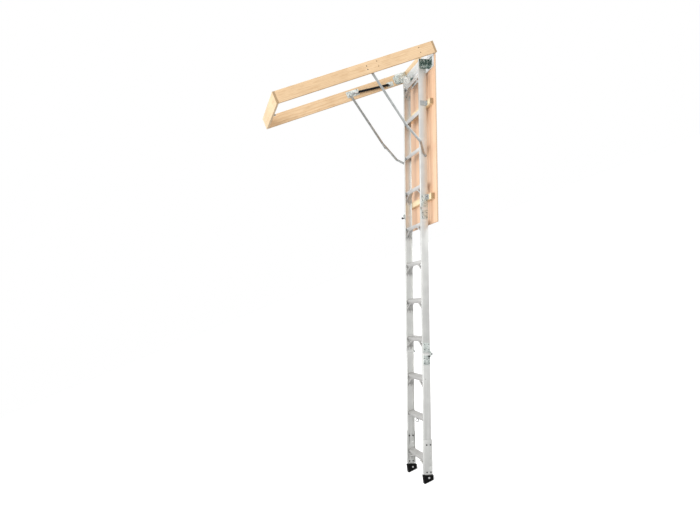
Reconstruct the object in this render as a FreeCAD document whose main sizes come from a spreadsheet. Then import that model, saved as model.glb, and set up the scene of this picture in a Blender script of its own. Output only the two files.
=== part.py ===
import FreeCAD, Part
import math
import os
import re
import Sketcher

# Folding attic ladder, drawn open and unfolded.
# +Z is up, and the origin is the middle of the hatch at the underside of the frame.
# +X points to the hinge end and -Y is the right-hand side of someone climbing.

doc = FreeCAD.newDocument("attic_ladder")
sheet = doc.addObject("Spreadsheet::Sheet", "Sizes")

SIZES = (
    # Frame of four boards round the hatch
    ("frame_length", 1372, "outside length of the frame"),
    ("frame_width", 648, "outside width of the frame"),
    ("board_height", 95, "height of the boards"),
    ("board_thick", 19, "thickness of the boards"),
    ("anchor_reach", 136, "nearer anchor holes from the hinge end"),
    ("anchor_spread", 374, "other anchor holes beyond those"),
    ("anchor_low", 34, "lower anchor holes above the underside"),
    ("anchor_rise", 41, "upper anchor holes above the lower ones"),
    ("anchor_radius", 4, "radius of the anchor holes"),
    # Long hinge between the frame and the door
    ("hinge_inset", 4.5, "hinge axis in from the inner face of the end board"),
    ("hinge_drop", 1, "hinge axis below the underside of the frame"),
    ("hinge_width", 596, "length of the hinge along its pin"),
    ("knuckle_radius", 4, "outside radius of the hinge knuckles"),
    ("knuckle_gap", 0.5, "gap between neighbouring knuckles"),
    ("hinge_pin_radius", 2, "radius of the long hinge pin"),
    ("running_gap", 0.05, "radial clearance of a turning fit"),
    ("leaf_thick", 2, "thickness of the hinge leaves"),
    ("leaf_lip", 6, "lip turned up at the foot of the door leaf"),
    ("frame_leaf_rise", 58, "height of the frame leaf"),
    ("door_leaf_reach", 100, "reach of the door leaf along the door"),
    ("open_angle", 67.5, "angle of the open door below the ceiling"),
    # Door panel and the battens that carry the upper ladder section
    ("door_thick", 9.5, "thickness of the plywood door"),
    ("door_start", 6, "upper edge of the door from the hinge axis"),
    ("door_end_margin", 3, "door short of the frame's outer end when shut"),
    ("door_side_margin", 8, "door short of the frame's outer sides"),
    ("batten_thick", 30, "depth of the battens between door and rails"),
    ("batten_height", 48, "height of the battens along the door"),
    ("batten_length", 540, "length of the battens"),
    ("batten_middle", 348, "upper batten from the hinge axis"),
    ("batten_lower", 1110, "lower batten from the hinge axis"),
    # Rails
    ("ladder_width", 395, "outside width over the rail webs"),
    ("rail_depth", 58, "depth of the rail channels"),
    ("rail_flange", 25, "width of the rail flanges"),
    ("rail_wall", 2.5, "wall of the rail channels"),
    ("rail_start", 6, "top of the upper rails from the hinge axis"),
    ("fold_upper_at", 1224, "upper fold axis from the hinge axis"),
    ("fold_lower_at", 2364, "lower fold axis from the hinge axis"),
    ("rail_end", 3238, "lower end of the lower rails from the hinge axis"),
    ("butt_gap", 0.6, "half the gap between butted rails"),
    ("fold_front_offset", 3, "upper fold axis in front of the rails"),
    ("fold_back_offset", 12, "lower fold axis behind the rails"),
    # Treads and their braces
    ("first_tread", 116, "front edge of the first tread from the hinge axis"),
    ("tread_pitch", 304.8, "distance between treads along the rails"),
    ("tread_depth", 50, "level depth of a tread"),
    ("tread_wall", 2.2, "wall of a tread"),
    ("tread_lip", 26, "height of the front lip"),
    ("tread_heel", 14, "height of the back lip"),
    ("tread_clear", 0.5, "tread set back from the flange"),
    ("rib_count", 7, "ribs on the top of a tread"),
    ("rib_width", 2.6, "width of a rib"),
    ("rib_rise", 1.2, "height of a rib"),
    ("brace_foot", 84, "foot of a brace below the front edge of its tread"),
    ("last_brace_foot", 60, "foot of the last braces below the front edge of their tread"),
    ("brace_reach", 102, "brace head in from the rail web"),
    ("brace_width", 14, "width of a brace"),
    ("brace_thick", 3, "thickness of a brace"),
    ("front_brace", 12, "front braces behind the front of the rails"),
    ("rear_brace", 39, "rear braces behind the front of the rails"),
    ("loop_radius", 12, "radius of the loop under a lower tread"),
    ("loop_wire", 2.6, "wire radius of that loop"),
    # Fold hinge plates
    ("plate_thick", 2.5, "thickness of the steel plates"),
    ("plate_gap", 0.3, "gap between plates that turn on each other"),
    ("plate_long", 106, "reach of the plates above the upper fold"),
    ("plate_short", 84, "reach of the other plates"),
    ("plate_clear", 12, "plates stop this far short of a fold axis"),
    ("plate_margin", 2, "plates inside the edges of the rails"),
    ("ear_radius", 9, "radius of the ears round a fold pin"),
    ("fold_pin_radius", 4, "radius of the fold pins"),
    ("pin_head_radius", 7.5, "radius of the fold pin heads"),
    ("pin_head_thick", 2.5, "thickness of the fold pin heads"),
    ("screw_radius", 4.5, "radius of the screw heads"),
    ("screw_rise", 2.2, "height of the screw heads"),
    ("bolt_head_radius", 9, "radius of the bolt heads at the feet of the arms"),
    ("bolt_head_rise", 3.4, "height of those bolt heads"),
    ("rivet_near_fold", 34, "nearer plate rivets from a fold"),
    ("rivet_upper_near", 64, "nearer rivets of the uppermost plates from their fold"),
    ("rivet_end", 12, "plate rivets in from the end of a plate"),
    ("rivet_radius", 3.6, "radius of the rivet heads"),
    ("rivet_rise", 1.8, "height of the rivet heads"),
    # Brackets on the door
    ("bracket_top", 5, "top of the rail brackets from the hinge axis"),
    ("bracket_step", 84, "foot of their door flange from the hinge axis"),
    ("bracket_foot", 87, "foot of their rail plate from the hinge axis"),
    ("bracket_spread", 64, "width of their door flange"),
    ("clamp_width", 40, "width of the rail clamps"),
    ("clamp_tab", 26, "tab of the rail clamps on the batten"),
    ("clamp_shallow", 24, "reach of the lower clamps over the rail web"),
    # Arms that stop the door
    ("arm_back", 579, "arm pivot on the frame from the hinge end"),
    ("arm_height", 46, "arm pivot above the underside of the frame"),
    ("arm_foot_at", 799, "arm pivot on the rail from the hinge axis"),
    ("arm_foot_depth", 14, "arm pivot in front of the back of the rail"),
    ("elbow_share", 0.636, "elbow along the line between those pivots"),
    ("elbow_bow", 26, "elbow off that line, to the latch end"),
    ("arm_width", 20, "width of the arms"),
    ("arm_thick", 3, "thickness of the arms"),
    ("arm_bolt_radius", 5, "radius of the arm pivots"),
    ("arm_washer", 1, "gap beside an arm at its pivot"),
    ("elbow_gap", 0.6, "gap between the two arms at the elbow"),
    ("joggle_start", 178, "sideways bend from the elbow"),
    ("joggle_run", 90, "length of the sideways bend"),
    ("bracket_thick", 3, "thickness of the plates on the boards"),
    ("bracket_reach", 118, "length of the arm bracket"),
    ("bracket_lead", 32, "arm bracket beyond its pivot, to the latch end"),
    ("bracket_low", 26, "foot of the arm bracket above the underside"),
    ("bracket_high", 81, "top of the arm bracket above the underside"),
    ("flat_head_rise", 0.7, "height of the screw heads that an arm passes over"),
    ("arm_overrun", 45, "upper arm past the elbow"),
    # Gas struts
    ("crank_radius", 45, "strut pin from the arm pivot"),
    ("crank_angle", 5, "strut pin above level"),
    ("strut_back", 205, "strut anchor from the hinge end"),
    ("strut_height", 22, "strut anchor above the underside of the frame"),
    ("strut_inset", 18, "strut centre in from the board"),
    ("strut_radius", 10, "radius of the strut cylinder"),
    ("strut_bore", 6.5, "radius of its bore"),
    ("strut_length", 282, "length of the strut cylinder"),
    ("strut_eye", 8, "radius of the strut eyes"),
    ("strut_rod", 4, "radius of the strut rod"),
    ("strut_neck", 4.4, "radius of the rod's end fitting"),
    ("strut_pin", 4, "radius of the strut pins"),
    ("corner_reach", 130, "length of the corner plates"),
    ("corner_low", 3, "foot of the corner plates above the underside"),
    ("corner_cut", 20, "width of the cut at their lower corner"),
    ("corner_slant", 34, "width of the cut at their upper corner"),
    ("channel_start", 32, "channel on a corner plate from its latch end"),
    ("channel_width", 19, "width of that channel"),
    ("channel_depth", 20, "depth of that channel"),
    ("channel_low", 12, "foot of that channel above the underside"),
    ("channel_high", 74, "top of that channel above the underside"),
    # Adjustable legs and feet
    ("leg_top", 3013, "top of the leg sleeves from the hinge axis"),
    ("leg_foot", 3271, "foot of the leg sleeves from the hinge axis"),
    ("leg_wall", 2, "wall of the leg sleeves"),
    ("leg_clear", 2.4, "gap between a sleeve and its rail"),
    ("leg_flange", 27, "width of the sleeve flanges"),
    ("leg_bolt_radius", 3.5, "radius of the leg bolts"),
    ("leg_raise", 12, "travel of a leg upwards"),
    ("leg_drop", 65, "travel of a leg downwards"),
    ("leg_bolt_inset", 40, "leg clamp bolts below the top of the sleeve"),
    ("leg_hole_pitch", 51, "pitch of the holes down the sleeve"),
    ("foot_pivot", 27, "foot pivot below the foot of the sleeve"),
    ("foot_gap", 7, "foot block below the foot of the sleeve"),
    ("foot_pivot_depth", 24, "foot pivot in front of the back of the rail"),
    ("foot_heel", 12, "foot block behind the back of the rail"),
    ("foot_toe", 9, "foot block in front of the rail"),
    ("foot_slant", 9, "front of the foot block leans back by this"),
    ("foot_width", 38, "width of the foot block"),
    ("foot_height", 65, "height of the front of the foot block"),
    ("foot_stand", 6, "foot block outside the rail web"),
    ("tab_thick", 3, "thickness of the tab that holds a foot"),
    ("tab_clear", 0.5, "gap between the tab and the foot each side"),
    # Latch
    ("latch_width", 46, "width of the latch plate"),
    ("latch_rise", 62, "height of the latch plate"),
    ("latch_pin_radius", 3, "radius of the latch pin"),
    ("latch_pin_out", 12, "latch pin in from the board"),
    ("latch_pin_up", 30, "latch pin above the underside of the frame"),
    ("strike_back", 26, "strike from the end of the door"),
    # Knobs that lock the folds
    ("knob_radius", 8, "radius of the lock knobs"),
    ("knob_height", 14, "height of the lock knobs"),
    ("stem_radius", 4, "radius of their stems"),
    ("stem_out", 14, "stem of the upper knob outside the rail web"),
)
NAMES = [row[0] for row in SIZES]
for number, (alias, amount, note) in enumerate(SIZES, start=1):
    sheet.set(f"A{number}", alias)
    sheet.set(f"B{number}", str(amount))
    sheet.set(f"C{number}", note)
    sheet.setAlias(f"B{number}", alias)
doc.recompute()


def bound(text):
    """An expression with each size's name turned into its spreadsheet cell."""
    return re.sub(r"[a-z][a-z_]+", lambda word: f"Sizes.{word[0]}" if word[0] in NAMES else word[0], str(text))


def amount_of(text):
    """The number that an expression stands for now."""
    found = sheet.evalExpression(bound(text))
    return float(getattr(found, "Value", found))


# ---------------------------------------------------------------- shared places
RAIL_BACK = "(batten_thick - leaf_thick)"
RAIL_FRONT = f"({RAIL_BACK} + rail_depth)"
WEB = "(ladder_width / 2)"
UPPER_AXIS = f"({RAIL_FRONT} + fold_front_offset)"
LOWER_AXIS = f"({RAIL_BACK} - fold_back_offset)"
BOARD_FACE = "(frame_width / 2 - board_thick)"
DOOR_END = "(frame_length - board_thick - hinge_inset - door_end_margin)"

slope = math.radians(amount_of("open_angle"))
DOWN = FreeCAD.Vector(-math.cos(slope), 0, -math.sin(slope))
FRONT = FreeCAD.Vector(-math.sin(slope), 0, math.cos(slope))
HINGE = FreeCAD.Vector(amount_of("frame_length / 2 - board_thick - hinge_inset"), 0, -amount_of("hinge_drop"))

# Ladder pieces are drawn with X down the ladder from the hinge axis and Z to its
# front, then turned into place. Their +Y is the right-hand side.
turned = FreeCAD.Matrix(
    DOWN.x, 0, FRONT.x, HINGE.x,
    0, -1, 0, HINGE.y,
    DOWN.z, 0, FRONT.z, HINGE.z,
    0, 0, 0, 1)
LADDER = FreeCAD.Placement(turned)
STILL = FreeCAD.Placement()
RIGHT, LEFT = 1, -1
SIDES = (("right", RIGHT), ("left", LEFT))


def on_ladder(along, front, across=0):
    """A point of the ladder in the object's own axes."""
    return LADDER.multVec(FreeCAD.Vector(along, across, front))


# ---------------------------------------------------------------- drawing tools
kept = []


def keep(piece, label, place=STILL):
    """Name a finished sub-part, put it in place and list it for export."""
    piece.Label = label
    piece.Placement = place
    kept.append(piece)
    return piece


def new_body(label):
    body = doc.addObject("PartDesign::Body", label)
    body.AllowCompound = True
    return body


def sketch_on(body, plane, offset):
    """An empty sketch on one of the body's planes, moved along its normal."""
    sketch = body.newObject("Sketcher::SketchObject", "Sketch")
    face = next(item for item in body.Origin.OriginFeatures if item.Role == plane)
    sketch.AttachmentSupport = (face, [""])
    sketch.MapMode = "FlatFace"
    sketch.setExpression("AttachmentOffset.Base.z", bound(offset))
    return sketch


def place_point(sketch, geometry, end, across, up):
    """Hold one sketch point at two bound distances from the origin."""
    for kind, text in (("DistanceX", across), ("DistanceY", up)):
        index = sketch.addConstraint(Sketcher.Constraint(kind, -1, 1, geometry, end, amount_of(text)))
        sketch.setExpression(f"Constraints[{index}]", bound(text))


def draw_outline(sketch, corners):
    """A closed outline of straight edges through bound corners."""
    first = sketch.GeometryCount
    points = [FreeCAD.Vector(amount_of(across), amount_of(up), 0) for across, up in corners]
    for index, point in enumerate(points):
        sketch.addGeometry(Part.LineSegment(point, points[(index + 1) % len(points)]), False)
    for index, (across, up) in enumerate(corners):
        following = first + (index + 1) % len(points)
        sketch.addConstraint(Sketcher.Constraint("Coincident", first + index, 2, following, 1))
        place_point(sketch, first + index, 1, across, up)


def draw_circle(sketch, across, up, radius):
    centre = FreeCAD.Vector(amount_of(across), amount_of(up), 0)
    geometry = sketch.addGeometry(Part.Circle(centre, FreeCAD.Vector(0, 0, 1), amount_of(radius)), False)
    place_point(sketch, geometry, 3, across, up)
    index = sketch.addConstraint(Sketcher.Constraint("Radius", geometry, amount_of(radius)))
    sketch.setExpression(f"Constraints[{index}]", bound(radius))


def lower_side(plane, start, thick):
    """Sketch offset that lets a pad fill start to start + thick along the axis."""
    return f"-({start} + {thick})" if plane == "XZ_Plane" else f"{start}"


def upper_side(plane, start, thick):
    """Sketch offset from which a pocket cuts back through that stretch."""
    return f"-({start})" if plane == "XZ_Plane" else f"{start} + {thick}"


def add_pad(body, plane, start, thick, corners=(), circles=()):
    sketch = sketch_on(body, plane, lower_side(plane, start, thick))
    if corners:
        draw_outline(sketch, corners)
    for circle in circles:
        draw_circle(sketch, *circle)
    pad = body.newObject("PartDesign::Pad", "Pad")
    pad.Profile = sketch
    pad.setExpression("Length", bound(thick))
    return pad


def add_pocket(body, plane, start, thick, corners=(), circles=()):
    sketch = sketch_on(body, plane, upper_side(plane, start, thick))
    if corners:
        draw_outline(sketch, corners)
    for circle in circles:
        draw_circle(sketch, *circle)
    pocket = body.newObject("PartDesign::Pocket", "Pocket")
    pocket.Profile = sketch
    pocket.setExpression("Length", bound(thick))
    return pocket


def rectangle(left, right, low, high):
    return ((left, low), (right, low), (right, high), (left, high))


def side_span(side, inner, thick):
    """Start of a stretch that runs outwards from inner on one side."""
    return f"({inner})" if side > 0 else f"-({inner} + {thick})"


def repeat(body, feature, count, step):
    """Repeat a pad down the ladder."""
    axis = next(item for item in body.Origin.OriginFeatures if item.Role == "X_Axis")
    pattern = body.newObject("PartDesign::LinearPattern", "Pattern")
    pattern.Originals = [feature]
    pattern.Direction = (axis, [""])
    pattern.Occurrences = count
    pattern.setExpression("Length", bound(f"{count - 1} * {step}"))
    body.Tip = pattern
    return pattern


def group(label, shapes, place=STILL):
    """A sub-part of several separate solids, such as a set of rivets."""
    piece = doc.addObject("Part::Feature", label)
    piece.Shape = Part.Compound(shapes)
    return keep(piece, label, place)


def dome(point, direction, radius, rise, shank=0, shank_radius=0):
    """A rounded head that stands on a face, with a shank behind it."""
    head = Part.makeCylinder(radius, rise)
    crown = [edge for edge in head.Edges if edge.Closed and edge.CenterOfMass.z > rise * 0.9]
    head = head.makeFillet(rise * 0.8, crown)
    if shank:
        head = head.fuse(Part.makeCylinder(shank_radius, shank, FreeCAD.Vector(0, 0, -shank)))
    head.Placement = FreeCAD.Placement(point, FreeCAD.Rotation(FreeCAD.Vector(0, 0, 1), direction))
    return head


# ---------------------------------------------------------------- frame boards
HALF_LENGTH = "(frame_length / 2)"
INNER_END = f"({HALF_LENGTH} - board_thick)"

# Holes for the screws that hang the frame, through the boards and the plates on them
ANCHOR_HOLES = [(f"({HALF_LENGTH} - anchor_reach - {step} * anchor_spread)", f"(anchor_low + {row} * anchor_rise)",
                 "anchor_radius") for step in (0, 1) for row in (0, 1)]

for name, side in (("right", -1), ("left", 1)):
    board = new_body(f"side_board_{name}")
    start = "frame_width / 2 - board_thick" if side > 0 else "-(frame_width / 2)"
    add_pad(board, "XZ_Plane", start, "board_thick",
            rectangle(f"-{INNER_END}", INNER_END, "0", "board_height"), ANCHOR_HOLES)
    keep(board, f"side_board_{name}")

for name, start in (("hinge", INNER_END), ("latch", f"-{HALF_LENGTH}")):
    board = new_body(f"{name}_end_board")
    add_pad(board, "YZ_Plane", start, "board_thick",
            rectangle("-frame_width / 2", "frame_width / 2", "0", "board_height"))
    keep(board, f"{name}_end_board")

# ---------------------------------------------------------------- long hinge
# Five knuckles on one pin: the frame leaf has the first, third and fifth.
KNUCKLES = 5
knuckle_length = amount_of("hinge_width") / KNUCKLES
AXIS_X = f"({INNER_END} - hinge_inset)"


def knuckle_spans(first):
    gap = amount_of("knuckle_gap") / 2
    start = -amount_of("hinge_width") / 2
    return [(start + index * knuckle_length + gap, start + (index + 1) * knuckle_length - gap)
            for index in range(first, KNUCKLES, 2)]


def knuckles(body, plane_x, plane_z, first):
    """Tubes round the pin, drawn in the leaf's own X and Z."""
    for low, high in knuckle_spans(first):
        add_pad(body, "XZ_Plane", f"{low}", f"{high - low}",
                circles=((plane_x, plane_z, "knuckle_radius"),
                         (plane_x, plane_z, "hinge_pin_radius + running_gap")))


frame_leaf = new_body("frame_hinge_leaf")
add_pad(frame_leaf, "YZ_Plane", f"{INNER_END} - leaf_thick", "leaf_thick",
        rectangle("-hinge_width / 2", "hinge_width / 2", "knuckle_radius - hinge_drop + 1", "frame_leaf_rise"))
for low, high in knuckle_spans(0):
    add_pad(frame_leaf, "XZ_Plane", f"{low}", f"{high - low}",
            rectangle(f"{INNER_END} - leaf_thick", INNER_END, "-hinge_drop", "knuckle_radius + 2"))
knuckles(frame_leaf, AXIS_X, "-hinge_drop", 0)
add_pocket(frame_leaf, "XZ_Plane", "-hinge_width / 2 - 1", "hinge_width + 2",
           circles=((AXIS_X, "-hinge_drop", "hinge_pin_radius + running_gap"),))
keep(frame_leaf, "frame_hinge_leaf")

door_leaf = new_body("door_hinge_leaf")
add_pad(door_leaf, "XY_Plane", "-leaf_thick", "leaf_thick",
        rectangle("knuckle_radius + 1", "door_leaf_reach", "-hinge_width / 2", "hinge_width / 2"))
add_pad(door_leaf, "XY_Plane", "-leaf_thick", "leaf_thick + leaf_lip",
        rectangle("door_leaf_reach - leaf_thick", "door_leaf_reach", "-hinge_width / 2", "hinge_width / 2"))
for low, high in knuckle_spans(1):
    add_pad(door_leaf, "XY_Plane", "-leaf_thick", "leaf_thick",
            rectangle("0", "knuckle_radius + 2", f"{low}", f"{high}"))
knuckles(door_leaf, "0", "0", 1)
add_pocket(door_leaf, "XZ_Plane", "-hinge_width / 2 - 1", "hinge_width + 2",
           circles=(("0", "0", "hinge_pin_radius + running_gap"),))
keep(door_leaf, "door_hinge_leaf", LADDER)

pin = doc.addObject("Part::Cylinder", "hinge_pin")
pin.setExpression("Radius", bound("hinge_pin_radius"))
pin.setExpression("Height", bound("hinge_width + 4"))
pin_start = FreeCAD.Vector(HINGE.x, amount_of("-hinge_width / 2 - 2"), HINGE.z)
keep(pin, "hinge_pin", FreeCAD.Placement(pin_start, FreeCAD.Rotation(FreeCAD.Vector(1, 0, 0), -90)))

# ---------------------------------------------------------------- door and battens
door = new_body("door_panel")
add_pad(door, "XY_Plane", "-leaf_thick - door_thick", "door_thick",
        rectangle("door_start", DOOR_END, "door_side_margin - frame_width / 2", "frame_width / 2 - door_side_margin"))
keep(door, "door_panel", LADDER)

battens = new_body("door_battens")
for place in ("batten_middle", "batten_lower"):
    add_pad(battens, "XY_Plane", "-leaf_thick", "batten_thick",
            rectangle(place, f"{place} + batten_height", "-batten_length / 2", "batten_length / 2"))
keep(battens, "door_battens", LADDER)

# ---------------------------------------------------------------- rails
SECTIONS = (
    ("upper", "rail_start", "fold_upper_at - butt_gap"),
    ("middle", "fold_upper_at + butt_gap", "fold_lower_at - butt_gap"),
    ("lower", "fold_lower_at + butt_gap", "rail_end"),
)
LEG_BOLTS = (f"{RAIL_BACK} + 9", f"{RAIL_BACK} + 40")

for section, start, end in SECTIONS:
    for name, side in SIDES:
        rail = new_body(f"{section}_rail_{name}")
        outer, inner, lip = (f"{side} * {WEB}", f"{side} * ({WEB} - rail_wall)", f"{side} * ({WEB} - rail_flange)")
        channel = ((outer, RAIL_BACK), (lip, RAIL_BACK), (lip, f"{RAIL_BACK} + rail_wall"),
                   (inner, f"{RAIL_BACK} + rail_wall"), (inner, f"{RAIL_FRONT} - rail_wall"),
                   (lip, f"{RAIL_FRONT} - rail_wall"), (lip, RAIL_FRONT), (outer, RAIL_FRONT))
        add_pad(rail, "YZ_Plane", start, f"{end} - ({start})", channel)
        if section == "lower":
            for level in LEG_BOLTS:
                low = "leg_top + leg_bolt_inset - leg_raise - leg_bolt_radius - 1"
                high = "leg_top + leg_bolt_inset + leg_drop + leg_bolt_radius + 1"
                add_pocket(rail, "XZ_Plane", side_span(side, f"{WEB} - rail_wall - 1", "rail_wall + 2"),
                           "rail_wall + 2",
                           rectangle(low, high, f"{level} - leg_bolt_radius - 0.3", f"{level} + leg_bolt_radius + 0.3"))
        keep(rail, f"{section}_rail_{name}", LADDER)

# ---------------------------------------------------------------- treads
# A tread is level when the ladder stands, so its outline is turned by the slope.
TREAD_FRONT = f"({RAIL_FRONT} - rail_wall - tread_clear)"


def tread_corner(first, back, drop):
    """Corner of a tread at a level distance back and a plumb drop from its front edge."""
    along = f"{first} - ({back}) * cos(open_angle) + ({drop}) * sin(open_angle)"
    front = f"{TREAD_FRONT} - ({back}) * sin(open_angle) - ({drop}) * cos(open_angle)"
    return along, front


def tread_outline(first):
    spots = [("0", "tread_lip"), ("0", "0")]
    count = int(amount_of("rib_count"))
    for rib in range(count):
        near = f"(tread_depth - rib_width - 3) * {rib} / (rib_count - 1) + 1.5"
        spots += [(near, "0"), (near, "-rib_rise"), (f"{near} + rib_width", "-rib_rise"), (f"{near} + rib_width", "0")]
    spots += [("tread_depth", "0"), ("tread_depth", "tread_heel"), ("tread_depth - tread_wall", "tread_heel"),
              ("tread_depth - tread_wall", "tread_wall"), ("tread_wall", "tread_wall"),
              ("tread_wall", "tread_lip - tread_wall"), ("tread_wall * 4", "tread_lip - tread_wall"),
              ("tread_wall * 4", "tread_lip")]
    return [tread_corner(first, back, drop) for back, drop in spots]


TREADS = (("upper", 0, 4), ("middle", 4, 4), ("lower", 8, 3))
for section, skipped, count in TREADS:
    treads = new_body(f"{section}_treads")
    first = f"first_tread + {skipped} * tread_pitch"
    pad = add_pad(treads, "XZ_Plane", f"rail_wall - {WEB}", "ladder_width - 2 * rail_wall", tread_outline(first))
    repeat(treads, pad, count, "tread_pitch")
    keep(treads, f"{section}_treads", LADDER)

# ---------------------------------------------------------------- tread braces
LAST_TREAD = 10
BRACED = (("upper", (0, 3)), ("middle", (4, 5, 6, 7)), ("lower", (8, LAST_TREAD)))


def brace(index, side, setback, drop):
    """Flat bar from under a tread down to the rail, with a tab bent at each end."""
    first = f"first_tread + {index} * tread_pitch"
    back = f"(({setback}) - rail_wall - tread_clear - {drop} * cos(open_angle)) / sin(open_angle)"
    under = amount_of(f"{first} - ({back}) * cos(open_angle) + {drop} * sin(open_angle)")
    foot = amount_of(f"{first} + " + ("last_brace_foot" if index == LAST_TREAD else "brace_foot"))
    web = amount_of(f"{WEB} - rail_wall")
    thick = amount_of("brace_thick")
    head = web - amount_of("brace_reach")
    tab = amount_of("brace_width")
    high, low = under - 2 * thick, under + 2 * thick
    line = ((head - tab, low), (head, low), (web - thick, foot), (web - thick, foot + tab),
            (web, foot + tab), (web, foot - thick / 2), (head + thick, high), (head - tab, high))
    corners = [FreeCAD.Vector(along, side * across, 0) for across, along in line]
    bar = Part.Face(Part.makePolygon(corners + corners[:1])).extrude(FreeCAD.Vector(0, 0, tab))
    bar.translate(FreeCAD.Vector(0, 0, amount_of(f"{RAIL_FRONT} - ({setback}) - brace_width / 2")))
    # The upper tab is cut level, to lie flat under the tread or its lip.
    level = [tread_corner(first, step, fall) for step, fall in (
        ("tread_depth", drop), ("tread_depth", "-tread_lip"), ("-tread_depth", "-tread_lip"), ("-tread_depth", drop))]
    spots = [FreeCAD.Vector(amount_of(along), -web, amount_of(front)) for along, front in level]
    tread = Part.Face(Part.makePolygon(spots + spots[:1])).extrude(FreeCAD.Vector(0, 2 * web, 0))
    return bar.cut(tread)


BRACE_ROWS = (("front_brace", "tread_lip"), ("rear_brace", "tread_wall"))
for section, indices in BRACED:
    group(f"{section}_braces", [brace(index, side, setback, drop) for index in indices for name, side in SIDES
                                for setback, drop in BRACE_ROWS], LADDER)

# ---------------------------------------------------------------- loop under a lower tread
under_tread = amount_of("first_tread + 9 * tread_pitch + (tread_lip + 1) * sin(open_angle)")
loop_front = amount_of(f"{TREAD_FRONT} - (tread_lip + 1) * cos(open_angle) - 2 * tread_wall")
ring = Part.makeTorus(amount_of("loop_radius"), amount_of("loop_wire"))
ring.rotate(FreeCAD.Vector(), FreeCAD.Vector(0, 1, 0), 90)
ring.rotate(FreeCAD.Vector(), FreeCAD.Vector(0, 0, 1), 90)
below = amount_of("loop_radius + loop_wire")
ring.translate(FreeCAD.Vector(under_tread + below, 0, loop_front))
group("tread_loop", [ring], LADDER)

# ---------------------------------------------------------------- fold hinge plates
# Each fold has an inner ear on the section above and an outer ear, cranked over it,
# on the section below. The upper fold turns in front of the rails, the lower behind.
OUTER_EAR = f"({WEB} + plate_thick + plate_gap)"


def fold_plate(body, side, at, axis, direction, reach, outer):
    """A flat plate on the rail web with an ear round the fold axis."""
    edge = f"({RAIL_FRONT} - plate_margin)" if axis == UPPER_AXIS else f"({RAIL_BACK} + plate_margin)"
    inward = -1 if axis == UPPER_AXIS else 1
    near = f"({at} + {direction} * plate_clear)"
    far = f"({at} + {direction} * {reach})"
    root = f"({near} + {direction} * 14)"
    base_start = side_span(side, WEB, "plate_thick")
    add_pad(body, "XZ_Plane", base_start, "plate_thick",
            rectangle(near, far, f"{RAIL_BACK} + plate_margin", f"{RAIL_FRONT} - plate_margin"))
    layer = OUTER_EAR if outer else WEB
    ear_start = side_span(side, layer, "plate_thick")
    neck = ((root, edge), (root, f"{edge} + {inward} * 24"), (at, f"{axis} + {inward} * ear_radius"),
            (at, f"{axis} - {inward} * ear_radius"))
    add_pad(body, "XZ_Plane", ear_start, "plate_thick", neck)
    add_pad(body, "XZ_Plane", ear_start, "plate_thick", circles=((at, axis, "ear_radius"),))
    if outer:
        crank = "2 * plate_thick + plate_gap"
        add_pad(body, "XZ_Plane", side_span(side, WEB, crank), crank,
                rectangle(near, root, edge, f"{edge} + {inward} * 24"))
    hole = "fold_pin_radius + running_gap" if outer else "fold_pin_radius"
    add_pocket(body, "XZ_Plane", side_span(side, f"{WEB} - 1", "2 * plate_thick + 3"), "2 * plate_thick + 3",
               circles=((at, axis, hole),))


def mirrored_plates(label, plates):
    """The right and left plates of a section as one sub-part."""
    body = new_body(label)
    for name, side in SIDES:
        for plate in plates:
            fold_plate(body, side, *plate)
    return body


upper_plates = mirrored_plates("upper_hinge_plates", [("fold_upper_at", UPPER_AXIS, -1, "plate_long", False)])
keep(upper_plates, "upper_hinge_plates", LADDER)
head_plates = mirrored_plates("middle_head_plates", [("fold_upper_at", UPPER_AXIS, 1, "plate_short", True)])

# The upper lock knob's stem turns in a lug on the left head plate.
STEM = f"({WEB} + stem_out)"
LUG = ("(fold_upper_at + plate_clear)", "(fold_upper_at + plate_clear + 14)")
STEM_ALONG = "(fold_upper_at + plate_clear + 7)"
add_pad(head_plates, "XZ_Plane", f"-({STEM} + stem_radius + 3)", f"{STEM} + stem_radius + 3 - {OUTER_EAR} - plate_thick",
        rectangle(LUG[0], LUG[1], f"{RAIL_FRONT} - plate_margin - 20", f"{RAIL_FRONT} - plate_margin - 4"))
add_pocket(head_plates, "XY_Plane", f"{RAIL_FRONT} - plate_margin - 21", "18",
           circles=((STEM_ALONG, f"-{STEM}", "stem_radius + running_gap"),))
keep(head_plates, "middle_head_plates", LADDER)

foot_plates = mirrored_plates("middle_foot_plates", [("fold_lower_at", LOWER_AXIS, -1, "plate_short", False)])
keep(foot_plates, "middle_foot_plates", LADDER)
lower_plates = mirrored_plates("lower_hinge_plates", [("fold_lower_at", LOWER_AXIS, 1, "plate_short", True)])
KNOB_ALONG = "(fold_lower_at + plate_clear + 7)"
KNOB_LEVEL = f"({RAIL_BACK} + plate_margin + 11)"
add_pocket(lower_plates, "XZ_Plane", f"{OUTER_EAR}", "plate_thick + 1",
           circles=((KNOB_ALONG, KNOB_LEVEL, "stem_radius + running_gap"),))
keep(lower_plates, "lower_hinge_plates", LADDER)

ACROSS = FreeCAD.Vector(0, 1, 0)


def fold_pins(label, at, axis):
    """Shouldered rivets that the ears turn on."""
    pins = []
    for name, side in SIDES:
        outward = ACROSS * side
        inner = FreeCAD.Vector(amount_of(at), side * amount_of(WEB), amount_of(axis))
        shank = amount_of("2 * plate_thick + plate_gap + 0.3")
        shaft = Part.makeCylinder(amount_of("fold_pin_radius"), shank, inner, outward)
        cap = dome(inner + outward * shank, outward, amount_of("pin_head_radius"), amount_of("pin_head_thick"))
        pins.append(shaft.fuse(cap))
    return group(label, pins, LADDER)


fold_pins("upper_fold_pins", "fold_upper_at", UPPER_AXIS)
fold_pins("lower_fold_pins", "fold_lower_at", LOWER_AXIS)

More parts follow.
